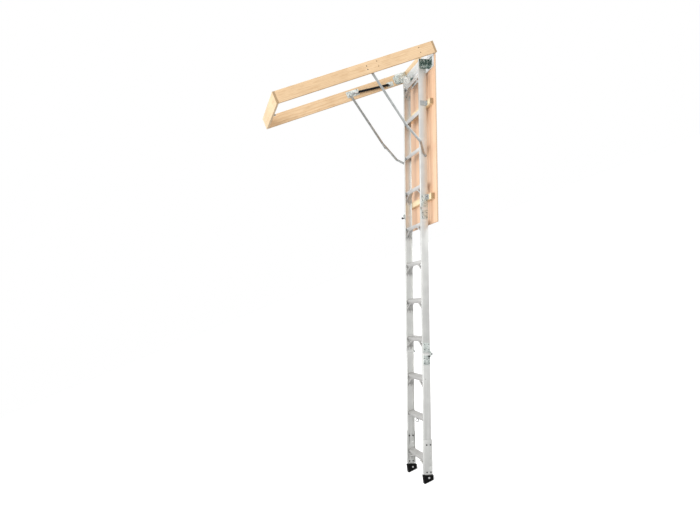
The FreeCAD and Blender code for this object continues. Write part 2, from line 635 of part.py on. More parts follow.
# ---------------------------------------------------------------- lock knobs
def knob(label, stem_foot, direction, stem_length):
    """Ball-ended knob on a stem, with three shallow grips round it."""
    radius = amount_of("knob_radius")
    height = amount_of("knob_height")
    seat = stem_foot + direction * stem_length
    stem = Part.makeCylinder(amount_of("stem_radius"), stem_length + 1, stem_foot, direction)
    ball = Part.makeCylinder(radius, height, seat, direction)
    rims = [edge for edge in ball.Edges if edge.Length > radius * 6 and edge.Closed]
    ball = ball.makeFillet(radius * 0.35, rims)
    side_step = direction.cross(FreeCAD.Vector(1, 0, 0)).normalize()
    for third in range(3):
        spot = FreeCAD.Rotation(direction, 120 * third).multVec(side_step) * (radius + 3.5)
        ball = ball.cut(Part.makeCylinder(5, height + 2, seat - direction + spot, direction))
    return group(label, [stem.fuse(ball)], LADDER)


knob("upper_lock_knob", FreeCAD.Vector(amount_of(STEM_ALONG), -amount_of(STEM), amount_of(f"{RAIL_FRONT} - 34")),
     FreeCAD.Vector(0, 0, 1), 42)
knob("lower_lock_knob", FreeCAD.Vector(amount_of(KNOB_ALONG), amount_of(f"{OUTER_EAR} + 0.2"), amount_of(KNOB_LEVEL)),
     ACROSS, amount_of("plate_thick + 0.6"))

# ---------------------------------------------------------------- rivets
def rivet(along, front, side, layer):
    """Rivet head on a rail web or on a plate."""
    face = FreeCAD.Vector(amount_of(along), side * amount_of(layer), amount_of(front))
    return dome(face, ACROSS * side, amount_of("rivet_radius"), amount_of("rivet_rise"))


PLATE_FACE = f"({WEB} + plate_thick)"
RIVET_ROWS = ("(plate_margin + 8)", "(rail_depth - plate_margin - 10)")


def plate_rivets(at, direction, reach, side, near="rivet_near_fold", clamped=False):
    """Four rivets through a fold plate; a clamp may lie over the back one at its end."""
    found = []
    for place in (f"({reach} - rivet_end)", near):
        for number, row in enumerate(RIVET_ROWS):
            over = clamped and number == 0 and place != near
            layer = f"({PLATE_FACE} + plate_thick)" if over else PLATE_FACE
            found.append(rivet(f"{at} + {direction} * {place}", f"{RAIL_BACK} + {row}", side, layer))
    return found


def tread_rivets(skipped, count, side):
    found = []
    for index in range(skipped, skipped + count):
        for back in ("tread_depth * 0.24", "tread_depth * 0.76"):
            along, front = tread_corner(f"first_tread + {index} * tread_pitch", back, "tread_lip * 0.3")
            found.append(rivet(along, front, side, WEB))
    return found


upper_rivets, middle_rivets, lower_rivets = [], [], []
for name, side in SIDES:
    upper_rivets += plate_rivets("fold_upper_at", -1, "plate_long", side, "rivet_upper_near", True)
    upper_rivets += tread_rivets(0, 4, side)
    middle_rivets += plate_rivets("fold_upper_at", 1, "plate_short", side) + tread_rivets(4, 4, side)
    middle_rivets += plate_rivets("fold_lower_at", -1, "plate_short", side)
    lower_rivets += plate_rivets("fold_lower_at", 1, "plate_short", side) + tread_rivets(8, 3, side)
group("upper_rivets", upper_rivets, LADDER)
group("middle_rivets", middle_rivets, LADDER)
group("lower_rivets", lower_rivets, LADDER)

# ---------------------------------------------------------------- brackets and clamps on the door
for name, side in SIDES:
    bracket = new_body(f"rail_bracket_{name}")
    add_pad(bracket, "XZ_Plane", side_span(side, WEB, "plate_thick"), "plate_thick",
            (("bracket_top", "0"), ("bracket_step", "0"), ("bracket_step", f"{RAIL_BACK} + 0.2"),
             ("bracket_foot", f"{RAIL_BACK} + 0.2"), ("bracket_foot", f"{RAIL_FRONT} - 8"),
             ("bracket_foot - 8", RAIL_FRONT), ("bracket_top", RAIL_FRONT)))
    add_pad(bracket, "XZ_Plane", side_span(side, WEB, "bracket_spread"), "bracket_spread",
            rectangle("bracket_top", "bracket_step", "0", "plate_thick"))
    keep(bracket, f"rail_bracket_{name}", LADDER)

clamps = new_body("rail_clamps")
for batten, layer, reach in (("batten_middle", WEB, "(rail_depth - 4)"), ("batten_lower", PLATE_FACE, "clamp_shallow")):
    low, high = f"{batten} + 3", f"{batten} + 3 + clamp_width"
    for name, side in SIDES:
        add_pad(clamps, "XZ_Plane", side_span(side, layer, "plate_thick"), "plate_thick",
                rectangle(low, high, RAIL_BACK, f"{RAIL_BACK} + {reach}"))
        add_pad(clamps, "XZ_Plane", side_span(side, layer, "clamp_tab"), "clamp_tab",
                rectangle(low, high, RAIL_BACK, f"{RAIL_BACK} + plate_thick"))
keep(clamps, "rail_clamps", LADDER)

# ---------------------------------------------------------------- arm geometry
# The two pivots and the elbow, in the plane of the arms.
ARM_TOP = FreeCAD.Vector(amount_of(f"{HALF_LENGTH} - arm_back"), 0, amount_of("arm_height"))
ARM_FOOT = on_ladder(amount_of("arm_foot_at"), amount_of(f"{RAIL_BACK} + arm_foot_depth"))
line = ARM_FOOT - ARM_TOP
bow = FreeCAD.Vector(line.z, 0, -line.x).normalize()
ELBOW = ARM_TOP + line * amount_of("elbow_share") + bow * amount_of("elbow_bow")
UPPER_ARM = (ELBOW - ARM_TOP).Length
LOWER_ARM = (ARM_FOOT - ELBOW).Length


def heading(start, end):
    """Angle from +X towards +Z of the way from start to end, in degrees."""
    return math.degrees(math.atan2(end.z - start.z, end.x - start.x))


def along_line(start, end, across=0):
    """Placement with X from start towards end, in the plane of the arms."""
    turn = FreeCAD.Rotation(FreeCAD.Vector(0, 1, 0), -heading(start, end))
    return FreeCAD.Placement(FreeCAD.Vector(start.x, across, start.z), turn)


UPPER_ARM_INNER = f"({BOARD_FACE} - bracket_thick - arm_washer - arm_thick)"
LOWER_ARM_OUTER = f"({UPPER_ARM_INNER} - elbow_gap)"
CRANK_TURN = amount_of("crank_angle") - heading(ARM_TOP, ELBOW)
CRANK = (f"crank_radius * cos({CRANK_TURN})", f"crank_radius * sin({CRANK_TURN})")
STRUT_CENTRE = f"({BOARD_FACE} - strut_inset)"

# In the frame's own axes the right-hand side is -Y.
FRAME_SIDES = (("right", -1), ("left", 1))
for name, side in FRAME_SIDES:
    # Upper arm: a flat bar past the elbow, with a crank for the strut.
    arm = new_body(f"upper_arm_{name}")
    plane = side_span(side, UPPER_ARM_INNER, "arm_thick")
    half = "arm_width / 2"
    add_pad(arm, "XZ_Plane", plane, "arm_thick",
            rectangle("0", f"{UPPER_ARM} + arm_overrun", f"-{half}", half))
    add_pad(arm, "XZ_Plane", plane, "arm_thick", circles=(("0", "0", f"{half} + 3"),))
    crank_side = (math.cos(math.radians(CRANK_TURN + 90)), math.sin(math.radians(CRANK_TURN + 90)))
    add_pad(arm, "XZ_Plane", plane, "arm_thick",
            ((f"{half} * {crank_side[0]}", f"{half} * {crank_side[1]}"),
             (f"-{half} * {crank_side[0]}", f"-{half} * {crank_side[1]}"),
             (f"{CRANK[0]} - {half} * {crank_side[0]}", f"{CRANK[1]} - {half} * {crank_side[1]}"),
             (f"{CRANK[0]} + {half} * {crank_side[0]}", f"{CRANK[1]} + {half} * {crank_side[1]}")))
    add_pad(arm, "XZ_Plane", plane, "arm_thick", circles=((CRANK[0], CRANK[1], half),))
    add_pocket(arm, "XZ_Plane", plane, "arm_thick", circles=(("0", "0", "arm_bolt_radius + running_gap"),))
    stub = f"{UPPER_ARM_INNER} - {STRUT_CENTRE} - 4.6"
    add_pad(arm, "XZ_Plane", side_span(side, f"{STRUT_CENTRE} + 4.6", stub), stub,
            circles=((CRANK[0], CRANK[1], "strut_pin"),))
    rivet_start = side_span(side, f"{UPPER_ARM_INNER} + arm_thick", "0.9")
    add_pad(arm, "XZ_Plane", rivet_start, "0.9", circles=((f"{UPPER_ARM}", "0", "arm_bolt_radius + 2"),))
    keep(arm, f"upper_arm_{name}", along_line(ARM_TOP, ELBOW))

    # Lower arm: a flat bar bent sideways from the elbow in to the rail.
    arm = new_body(f"lower_arm_{name}")
    outer, inner = f"{side} * {LOWER_ARM_OUTER}", f"{side} * ({LOWER_ARM_OUTER} - arm_thick)"
    foot_inner, foot_outer = f"{side} * ({WEB} + arm_washer)", f"{side} * ({WEB} + arm_washer + arm_thick)"
    bend = "(joggle_start + joggle_run)"
    tip = f"({LOWER_ARM} + arm_width / 2)"
    shift = "arm_thick * 0.42"
    add_pad(arm, "XY_Plane", "-arm_width / 2", "arm_width",
            ((f"-{half}", outer), ("joggle_start", outer), (bend, foot_outer), (tip, foot_outer),
             (tip, foot_inner), (f"{bend} - {shift}", foot_inner), (f"joggle_start - {shift}", inner),
             (f"-{half}", inner)))
    add_pocket(arm, "XZ_Plane", side_span(side, WEB, "2 * arm_thick"), "2 * arm_thick",
               circles=((f"{LOWER_ARM}", "0", "arm_bolt_radius + running_gap"),))
    add_pad(arm, "XZ_Plane", side_span(side, f"{LOWER_ARM_OUTER} - arm_thick - 2.5", "2.5"), "2.5",
            circles=(("0", "0", "arm_bolt_radius + 2"),))
    keep(arm, f"lower_arm_{name}", along_line(ELBOW, ARM_FOOT))

# ---------------------------------------------------------------- steel plates on the boards
PIVOT_X = f"({HALF_LENGTH} - arm_back)"
ANCHOR_X = f"({HALF_LENGTH} - strut_back)"
PLATE_INNER = f"({BOARD_FACE} - bracket_thick)"

brackets = new_body("arm_brackets")
for name, side in FRAME_SIDES:
    left = f"({PIVOT_X} - bracket_lead)"
    right = f"({left} + bracket_reach)"
    add_pad(brackets, "XZ_Plane", side_span(side, PLATE_INNER, "bracket_thick"), "bracket_thick",
            ((left, "bracket_low"), (right, "bracket_low"), (right, "bracket_high"), (left, "bracket_high")))
    add_pocket(brackets, "XZ_Plane", side_span(side, PLATE_INNER, "bracket_thick"), "bracket_thick",
               circles=ANCHOR_HOLES[2:])
    stud = "arm_washer + arm_thick + 0.4"
    add_pad(brackets, "XZ_Plane", side_span(side, f"{PLATE_INNER} - ({stud})", stud), stud,
            circles=((PIVOT_X, "arm_height", "arm_bolt_radius"),))
    add_pad(brackets, "XZ_Plane", side_span(side, f"{PLATE_INNER} - ({stud}) - 3", "3"), "3",
            circles=((PIVOT_X, "arm_height", "arm_bolt_radius + 4"),))
    add_pad(brackets, "XZ_Plane", side_span(side, f"{PLATE_INNER} - arm_washer + 0.2", "arm_washer - 0.2"),
            "arm_washer - 0.2", circles=((PIVOT_X, "arm_height", "arm_bolt_radius + 5"),))
keep(brackets, "arm_brackets")

anchors = new_body("strut_anchors")
for name, side in FRAME_SIDES:
    add_pad(anchors, "XZ_Plane", side_span(side, PLATE_INNER, "bracket_thick"), "bracket_thick",
            rectangle(f"{ANCHOR_X} - 22", f"{ANCHOR_X} + 38", "6", "strut_height + 26"))
    post = f"{PLATE_INNER} - {STRUT_CENTRE} + 5"
    add_pad(anchors, "XZ_Plane", side_span(side, f"{STRUT_CENTRE} - 5", post), post,
            circles=((ANCHOR_X, "strut_height", "strut_pin"),))
    add_pad(anchors, "XZ_Plane", side_span(side, f"{STRUT_CENTRE} - 7.5", "2.5"), "2.5",
            circles=((ANCHOR_X, "strut_height", "strut_pin + 3"),))
    collar = f"{PLATE_INNER} - {STRUT_CENTRE} - 4.5"
    add_pad(anchors, "XZ_Plane", side_span(side, f"{STRUT_CENTRE} + 4.5", collar), collar,
            circles=((ANCHOR_X, "strut_height", "strut_pin + 2"),))
keep(anchors, "strut_anchors")

corners = new_body("corner_plates")
PLATE_END = f"({INNER_END} - leaf_thick - 1)"
PLATE_LEFT = f"({PLATE_END} - corner_reach)"
CHANNEL = (f"({PLATE_LEFT} + channel_start)", f"({PLATE_LEFT} + channel_start + channel_width)")
CORNER_TOP = "(board_height - 2)"
for name, side in FRAME_SIDES:
    layer = side_span(side, PLATE_INNER, "bracket_thick")
    add_pad(corners, "XZ_Plane", layer, "bracket_thick",
            ((PLATE_LEFT, "anchor_low - 10"), (f"{PLATE_LEFT} + corner_cut", "corner_low"), (PLATE_END, "corner_low"),
             (PLATE_END, CORNER_TOP), (f"{PLATE_LEFT} + corner_slant", CORNER_TOP), (PLATE_LEFT, "anchor_low + anchor_rise")))
    add_pocket(corners, "XZ_Plane", layer, "bracket_thick", circles=ANCHOR_HOLES[:2])
    # A channel stands on the plate: two walls and a web across them.
    for wall in (CHANNEL[0], f"({CHANNEL[1]} - bracket_thick)"):
        add_pad(corners, "XZ_Plane", side_span(side, f"{PLATE_INNER} - channel_depth", "channel_depth"), "channel_depth",
                rectangle(wall, f"{wall} + bracket_thick", "channel_low", "channel_high"))
    add_pad(corners, "XZ_Plane", side_span(side, f"{PLATE_INNER} - channel_depth", "bracket_thick"), "bracket_thick",
            rectangle(CHANNEL[0], CHANNEL[1], "channel_low", "channel_high"))
keep(corners, "corner_plates")

# ---------------------------------------------------------------- gas struts
STRUT_FOOT = FreeCAD.Vector(amount_of(ANCHOR_X), 0, amount_of("strut_height"))
pin_angle = math.radians(amount_of("crank_angle"))
STRUT_PIN = ARM_TOP + FreeCAD.Vector(math.cos(pin_angle), 0, math.sin(pin_angle)) * amount_of("crank_radius")
STRUT_SPAN = (STRUT_PIN - STRUT_FOOT).Length


def turned_body(body, corners):
    """Turn a half outline, drawn in X and radius, about the body's X axis."""
    sketch = sketch_on(body, "XZ_Plane", "0")
    draw_outline(sketch, corners)
    turn = body.newObject("PartDesign::Revolution", "Turned")
    turn.Profile = sketch
    axis = next(item for item in body.Origin.OriginFeatures if item.Role == "X_Axis")
    turn.ReferenceAxis = (axis, [""])
    turn.Angle = 360
    return turn


for name, side in FRAME_SIDES:
    centre = side * amount_of(STRUT_CENTRE)
    cylinder = new_body(f"strut_cylinder_{name}")
    turned_body(cylinder, (("strut_eye - 1.5", "0"), ("strut_eye - 1.5", "5"), ("15", "5"), ("15", "strut_radius"),
                           ("15 + strut_length", "strut_radius"), ("15 + strut_length", "strut_rod + running_gap"),
                           ("11 + strut_length", "strut_rod + running_gap"), ("11 + strut_length", "strut_bore"),
                           ("20", "strut_bore"), ("20", "0")))
    add_pad(cylinder, "XZ_Plane", "-4", "8", circles=(("0", "0", "strut_eye"),))
    add_pocket(cylinder, "XZ_Plane", "-5", "10", circles=(("0", "0", "strut_pin + running_gap"),))
    keep(cylinder, f"strut_cylinder_{name}", along_line(STRUT_FOOT, STRUT_PIN, centre))

    rod = new_body(f"strut_rod_{name}")
    turned_body(rod, (("100", "0"), ("100", "strut_bore - running_gap"), ("108", "strut_bore - running_gap"),
                      ("108", "strut_rod"), (f"{STRUT_SPAN} - 14", "strut_rod"), (f"{STRUT_SPAN} - 14", "strut_neck"),
                      (f"{STRUT_SPAN} - strut_eye + 1.5", "strut_neck"), (f"{STRUT_SPAN} - strut_eye + 1.5", "0")))
    add_pad(rod, "XZ_Plane", "-4", "8", circles=((f"{STRUT_SPAN}", "0", "strut_eye"),))
    add_pad(rod, "XZ_Plane", side_span(side, "-6.5", "3"), "3", circles=((f"{STRUT_SPAN}", "0", "strut_pin + 2"),))
    keep(rod, f"strut_rod_{name}", along_line(STRUT_FOOT, STRUT_PIN, centre))

# ---------------------------------------------------------------- adjustable legs
SLEEVE_INNER = f"({WEB} + leg_clear)"
SLEEVE_OUTER = f"({SLEEVE_INNER} + leg_wall)"
SLEEVE_LIP = f"({SLEEVE_OUTER} - leg_flange)"
LEG_HOLES = [(f"(leg_top + leg_bolt_inset + {step} * leg_hole_pitch)", LEG_BOLTS[0]) for step in range(5)]
LEG_HOLES += [(LEG_HOLES[step][0], LEG_BOLTS[1]) for step in (0, 4)]
FOOT_PIVOT = ("(leg_foot + foot_pivot)", f"({RAIL_BACK} + foot_pivot_depth)")
FOOT_OUTER = f"({WEB} + foot_stand)"
FOOT_TOP = "(leg_foot + foot_gap)"

for name, side in SIDES:
    sleeve = new_body(f"leg_sleeve_{name}")
    back, front = f"({RAIL_BACK} - leg_clear)", f"({RAIL_FRONT} + leg_clear)"
    outer, inner, lip = f"{side} * {SLEEVE_OUTER}", f"{side} * {SLEEVE_INNER}", f"{side} * {SLEEVE_LIP}"
    outline = ((outer, f"{back} - leg_wall"), (lip, f"{back} - leg_wall"), (lip, back), (inner, back),
               (inner, front), (lip, front), (lip, f"{front} + leg_wall"), (outer, f"{front} + leg_wall"))
    add_pad(sleeve, "YZ_Plane", "leg_top", "leg_foot - leg_top", outline)
    add_pocket(sleeve, "XZ_Plane", side_span(side, f"{SLEEVE_INNER} - 1", "leg_wall + 2"), "leg_wall + 2",
               circles=[(along, level, "leg_bolt_radius + running_gap") for along, level in LEG_HOLES])
    # Tab inside the sleeve that the foot hangs from
    tab_start = side_span(side, f"{SLEEVE_INNER} - tab_thick", "tab_thick")
    add_pad(sleeve, "XZ_Plane", tab_start, "tab_thick",
            ((f"rail_end + leg_raise + 1", f"{back} + 1"), (f"rail_end + leg_raise + 1", f"{front} - 1"),
             ("leg_foot - 2", f"{front} - 1"), (FOOT_PIVOT[0], f"{FOOT_PIVOT[1]} + 9"),
             (FOOT_PIVOT[0], f"{FOOT_PIVOT[1]} - 9"), ("leg_foot - 2", f"{back} + 1")))
    add_pad(sleeve, "XZ_Plane", tab_start, "tab_thick", circles=((FOOT_PIVOT[0], FOOT_PIVOT[1], "9"),))
    holes = [(along, level, "leg_bolt_radius + running_gap") for along, level in (LEG_HOLES[4], LEG_HOLES[6])]
    holes.append((FOOT_PIVOT[0], FOOT_PIVOT[1], "leg_bolt_radius + running_gap"))
    add_pocket(sleeve, "XZ_Plane", tab_start, "tab_thick", circles=holes)
    keep(sleeve, f"leg_sleeve_{name}", LADDER)

    bolts = []
    outward = ACROSS * side
    for step, (along, level) in enumerate(LEG_HOLES):
        if step not in (0, 4, 5, 6):
            continue
        face = FreeCAD.Vector(amount_of(along), side * amount_of(SLEEVE_OUTER), amount_of(level))
        clamping = step in (0, 5)
        grip = amount_of("leg_wall + leg_clear + rail_wall" if clamping else "leg_wall + tab_thick")
        bolt = dome(face, outward, amount_of("leg_bolt_radius + 2.5"), 2.6, grip + 3.6, amount_of("leg_bolt_radius"))
        bolts.append(bolt)
        ring = Part.makeCylinder(amount_of("leg_bolt_radius + 2.3"), 3, face - outward * (grip + 3.4), outward)
        bolts.append(ring.cut(Part.makeCylinder(amount_of("leg_bolt_radius"), 5, face - outward * (grip + 4), outward)))
    group(f"leg_bolts_{name}", bolts, LADDER)

    pivot = FreeCAD.Vector(amount_of(FOOT_PIVOT[0]), side * amount_of(f"{FOOT_OUTER} + 0.3"), amount_of(FOOT_PIVOT[1]))
    through = amount_of("foot_width + 0.6")
    pivot_bolt = dome(pivot, outward, 8, 2.6, through, amount_of("leg_bolt_radius"))
    tail = Part.makeCylinder(7, 3.5, pivot - outward * (through + 3.5), outward)
    group(f"foot_bolt_{name}", [pivot_bolt.fuse(tail)], LADDER)

    foot = new_body(f"foot_{name}")
    sole_front = f"({FOOT_TOP} + foot_height)"
    sole_run = "(rail_depth + foot_toe - foot_slant + foot_heel)"
    sole_back = f"({sole_front} - {sole_run} * cos(open_angle) / sin(open_angle))"
    start = side_span(side, f"{FOOT_OUTER} - foot_width", "foot_width")
    add_pad(foot, "XZ_Plane", start, "foot_width",
            ((FOOT_TOP, f"{RAIL_BACK} - foot_heel"), (FOOT_TOP, f"{RAIL_FRONT} + foot_toe"),
             (sole_front, f"{RAIL_FRONT} + foot_toe - foot_slant"), (sole_back, f"{RAIL_BACK} - foot_heel")))
    gap = "tab_thick + 2 * tab_clear"
    add_pocket(foot, "XZ_Plane", side_span(side, f"{SLEEVE_INNER} - tab_thick - tab_clear", gap), gap,
               rectangle(f"{FOOT_TOP} - 1", f"{FOOT_PIVOT[0]} + 13", f"{RAIL_BACK} - foot_heel - 1",
                         f"{RAIL_FRONT} + foot_toe + 1"))
    add_pocket(foot, "XZ_Plane", start, "foot_width",
               circles=((FOOT_PIVOT[0], FOOT_PIVOT[1], "leg_bolt_radius + running_gap"),))
    keep(foot, f"foot_{name}", LADDER)

# ---------------------------------------------------------------- latch
LATCH_FACE = f"(board_thick - {HALF_LENGTH})"
plate = new_body("latch_plate")
add_pad(plate, "YZ_Plane", LATCH_FACE, "bracket_thick",
        rectangle("-latch_width / 2", "latch_width / 2", "8", "8 + latch_rise"))
LATCH_PIN = (f"({LATCH_FACE} + latch_pin_out)", "latch_pin_up")
for low in ("-13", "10"):
    add_pad(plate, "XZ_Plane", low, "3",
            rectangle(LATCH_FACE, f"{LATCH_PIN[0]} + 6", "latch_pin_up - 8", "latch_pin_up + 8"))
add_pad(plate, "XZ_Plane", "-13", "26", circles=((LATCH_PIN[0], LATCH_PIN[1], "latch_pin_radius"),))
keep(plate, "latch_plate")

lever = new_body("latch_lever")
add_pad(lever, "XZ_Plane", "-9.5", "19",
        ((f"{LATCH_PIN[0]} - 3", "latch_pin_up + 14"), (f"{LATCH_PIN[0]} - 6", "latch_pin_up + 5"), (f"{LATCH_PIN[0]} - 5", "4"), (f"{LATCH_PIN[0]} + 10", "4"),
         (f"{LATCH_PIN[0]} + 10", "9"), (f"{LATCH_PIN[0]} + 1", "12"), (f"{LATCH_PIN[0]} + 6", "latch_pin_up - 4"),
         (f"{LATCH_PIN[0]} + 6", "latch_pin_up + 10"), (f"{LATCH_PIN[0]} + 16", "latch_pin_up + 24"),
         (f"{LATCH_PIN[0]} + 12", "latch_pin_up + 27")))
add_pocket(lever, "XZ_Plane", "-10", "20",
           circles=((LATCH_PIN[0], LATCH_PIN[1], "latch_pin_radius + running_gap"),))
keep(lever, "latch_lever")

strike = new_body("door_strike")
STRIKE = f"({DOOR_END} - strike_back)"
add_pad(strike, "XY_Plane", "-leaf_thick", "leaf_thick", rectangle(f"{STRIKE} - 30", STRIKE, "-18", "18"))
for low in ("-18", "12"):
    add_pad(strike, "YZ_Plane", f"{STRIKE} - leaf_thick", "leaf_thick", rectangle(low, f"{low} + 6", "-leaf_thick", "16"))
add_pad(strike, "YZ_Plane", f"{STRIKE} - leaf_thick", "leaf_thick", rectangle("-18", "18", "12", "16"))
keep(strike, "door_strike", LADDER)

# ---------------------------------------------------------------- screws and bolts
OUT_OF_DOOR = FreeCAD.Vector(0, 0, 1)
door_screws = []
screw, screw_rise = amount_of("screw_radius"), amount_of("screw_rise")
for name, side in SIDES:
    for along in ("bracket_top + 12", "bracket_step - 10"):
        for share in (0.35, 0.8):
            spot = FreeCAD.Vector(amount_of(along), side * amount_of(f"{WEB} + {share} * bracket_spread"),
                                  amount_of("plate_thick"))
            door_screws.append(dome(spot, OUT_OF_DOOR, screw, screw_rise))
    for along, front in (("bracket_top + 12", "20"), ("bracket_top + 12", "44"), ("bracket_foot - 14", "20"),
                         ("bracket_foot - 14", "40")):
        spot = FreeCAD.Vector(amount_of(along), side * amount_of(PLATE_FACE), amount_of(f"{RAIL_BACK} + {front}"))
        door_screws.append(dome(spot, ACROSS * side, screw, screw_rise))
    for batten, layer in (("batten_middle", PLATE_FACE), ("batten_lower", f"({PLATE_FACE} + plate_thick)")):
        tab = FreeCAD.Vector(amount_of(f"{batten} + 3 + clamp_width / 2"),
                             side * amount_of(f"{layer} + clamp_tab * 0.5"), amount_of(f"{RAIL_BACK} + plate_thick"))
        door_screws.append(dome(tab, OUT_OF_DOOR, screw, screw_rise))
        for share in (0.25, 0.75):
            spot = FreeCAD.Vector(amount_of(f"{batten} + 3 + clamp_width * {share}"), side * amount_of(layer),
                                  amount_of(f"{RAIL_BACK} + 14"))
            door_screws.append(dome(spot, ACROSS * side, amount_of("rivet_radius"), amount_of("rivet_rise")))
    foot = FreeCAD.Vector(amount_of("arm_foot_at"), side * amount_of(WEB), amount_of(f"{RAIL_BACK} + arm_foot_depth"))
    length = amount_of("arm_washer + arm_thick + 0.4")
    shank = Part.makeCylinder(amount_of("arm_bolt_radius"), length, foot, ACROSS * side)
    cap = dome(foot + ACROSS * side * length, ACROSS * side, amount_of("bolt_head_radius"), amount_of("bolt_head_rise"))
    door_screws.append(shank.fuse(cap))
group("door_fasteners", door_screws, LADDER)

# Screws into the boards: from the arm bracket's left edge or the corner plate's, and up.
BRACKET_SCREWS = ((8, 34), (8, 62), (85, 34), (85, 62))
CORNER_SCREWS = ((70, 14), (112, 20), (70, 80), (112, 80))
frame_screws = []
for name, side in FRAME_SIDES:
    inward = ACROSS * -side
    inner = side * amount_of(PLATE_INNER)
    head = amount_of("screw_radius")
    for edge, spots, rise in ((f"{PIVOT_X} - bracket_lead", BRACKET_SCREWS, "flat_head_rise"),
                              (PLATE_LEFT, CORNER_SCREWS, "screw_rise")):
        for step, up in spots:
            frame_screws.append(dome(FreeCAD.Vector(amount_of(edge) + step, inner, up), inward, head, amount_of(rise)))
group("frame_screws", frame_screws)

# ---------------------------------------------------------------- check and export
doc.recompute()
for item in doc.Objects:
    if "Invalid" in item.State or "Error" in item.State:
        raise RuntimeError(f"{item.Name} did not build: {item.State}")
for piece in kept:
    if piece.Shape.isNull() or not piece.Shape.isValid():
        raise RuntimeError(f"{piece.Label} has no sound shape")

os.makedirs("parts", exist_ok=True)
for piece in kept:
    piece.Shape.exportStep(f"parts/{piece.Label}.step")
    print(f"{piece.Label:22s} solids {len(piece.Shape.Solids):3d}  volume {piece.Shape.Volume / 1000:9.2f} cm3")
print(f"{len(kept)} sub-parts, arms {UPPER_ARM:.1f} and {LOWER_ARM:.1f} mm, strut {STRUT_SPAN:.1f} mm")
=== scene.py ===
import math

import bpy
from mathutils import Matrix, Vector


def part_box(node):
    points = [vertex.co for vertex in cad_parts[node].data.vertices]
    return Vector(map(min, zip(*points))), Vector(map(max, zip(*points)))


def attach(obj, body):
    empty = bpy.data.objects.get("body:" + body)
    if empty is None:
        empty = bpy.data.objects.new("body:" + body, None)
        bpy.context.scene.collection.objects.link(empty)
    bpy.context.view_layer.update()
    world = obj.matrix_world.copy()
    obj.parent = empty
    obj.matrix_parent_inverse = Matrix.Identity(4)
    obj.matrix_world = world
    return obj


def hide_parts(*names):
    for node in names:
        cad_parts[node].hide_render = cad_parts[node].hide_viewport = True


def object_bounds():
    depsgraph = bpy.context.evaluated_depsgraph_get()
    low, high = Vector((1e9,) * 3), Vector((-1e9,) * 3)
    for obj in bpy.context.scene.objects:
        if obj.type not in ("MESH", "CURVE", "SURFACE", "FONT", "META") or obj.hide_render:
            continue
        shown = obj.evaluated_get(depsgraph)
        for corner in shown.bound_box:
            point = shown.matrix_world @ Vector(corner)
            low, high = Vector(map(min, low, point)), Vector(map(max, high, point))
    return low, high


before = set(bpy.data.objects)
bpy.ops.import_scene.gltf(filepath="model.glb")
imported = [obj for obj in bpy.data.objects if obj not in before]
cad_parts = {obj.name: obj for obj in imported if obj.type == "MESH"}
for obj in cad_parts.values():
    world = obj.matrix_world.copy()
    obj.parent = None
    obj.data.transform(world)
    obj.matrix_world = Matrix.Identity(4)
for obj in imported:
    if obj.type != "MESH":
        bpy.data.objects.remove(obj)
cad_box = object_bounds()

# ---------------------------------------------------------------- camera
# The view from a little above the climber's waist, well past the latch end, on the
# right-hand side of the ladder. The camera leans so that the ladder stands upright.
bpy.ops.object.select_all(action="DESELECT")
bpy.ops.object.camera_add(
    location=(-1.8015, -4.7894, -1.2303),
    rotation=(math.radians(89.337), math.radians(22.020), math.radians(-15.063)))
camera = bpy.context.object
camera.data.lens = 32.135
camera.data.sensor_width = 36
camera.data.clip_end = 200
bpy.context.scene.camera = camera

# ---------------------------------------------------------------- floor and light
# A wide pale floor under the feet and an even white surround. Less light comes from
# below than from above, as over a studio floor, and a soft key comes from the front.
bpy.context.scene.view_settings.view_transform = "Standard"
FLOOR_RADIUS = 60
bpy.ops.mesh.primitive_circle_add(vertices=96, radius=FLOOR_RADIUS, fill_type="NGON",
                                  location=(0, 0, cad_box[0][2]))
floor = bpy.context.object
floor.name = "floor"
bpy.ops.object.transform_apply(location=True, rotation=True, scale=True)
pale = bpy.data.materials.new("pale_floor")
pale.use_nodes = True
pale_shader = pale.node_tree.nodes["Principled BSDF"]
pale_shader.inputs["Base Color"].default_value = (0.96, 0.96, 0.96, 1)
pale_shader.inputs["Roughness"].default_value = 0.9
pale_shader.inputs["Emission Color"].default_value = (1, 1, 1, 1)
pale_shader.inputs["Emission Strength"].default_value = 0.22
floor.data.materials.append(pale)
floor.visible_diffuse = False
floor.visible_glossy = False

surround = bpy.data.worlds.new("white_room")
surround.use_nodes = True
nodes, links = surround.node_tree.nodes, surround.node_tree.links
sky = nodes.new("ShaderNodeTexCoord")
height = nodes.new("ShaderNodeSeparateXYZ")
links.new(sky.outputs["Generated"], height.inputs[0])
above = nodes.new("ShaderNodeMapRange")
above.inputs["From Min"].default_value, above.inputs["From Max"].default_value = -0.7, 0.5
above.inputs["To Min"].default_value, above.inputs["To Max"].default_value = 0.62, 0.98
links.new(height.outputs["Z"], above.inputs["Value"])
seen = nodes.new("ShaderNodeLightPath")
strength = nodes.new("ShaderNodeMix")
links.new(seen.outputs["Is Camera Ray"], strength.inputs[0])
links.new(above.outputs[0], strength.inputs[2])
strength.inputs[3].default_value = 1.0
links.new(strength.outputs[0], nodes["Background"].inputs["Strength"])
nodes["Background"].inputs["Color"].default_value = (1, 1, 1, 1)
bpy.context.scene.world = surround

MIDDLE_OF_LADDER = Vector((0.1, 0, -1.0))
for name, place, size, power in (("key_light", (-5.0, -6.5, 2.5), 3.0, 290),
                                 ("side_light", (-6.0, 2.5, 1.0), 3.5, 150),
                                 ("rim_light", (4.5, -3.0, 0.5), 2.5, 60)):
    bpy.ops.object.light_add(type="AREA", location=place)
    lamp = bpy.context.object
    lamp.name = name
    lamp.data.size = size
    lamp.data.energy = power
    aim = MIDDLE_OF_LADDER - Vector(place)
    lamp.rotation_euler = aim.to_track_quat("-Z", "Y").to_euler()

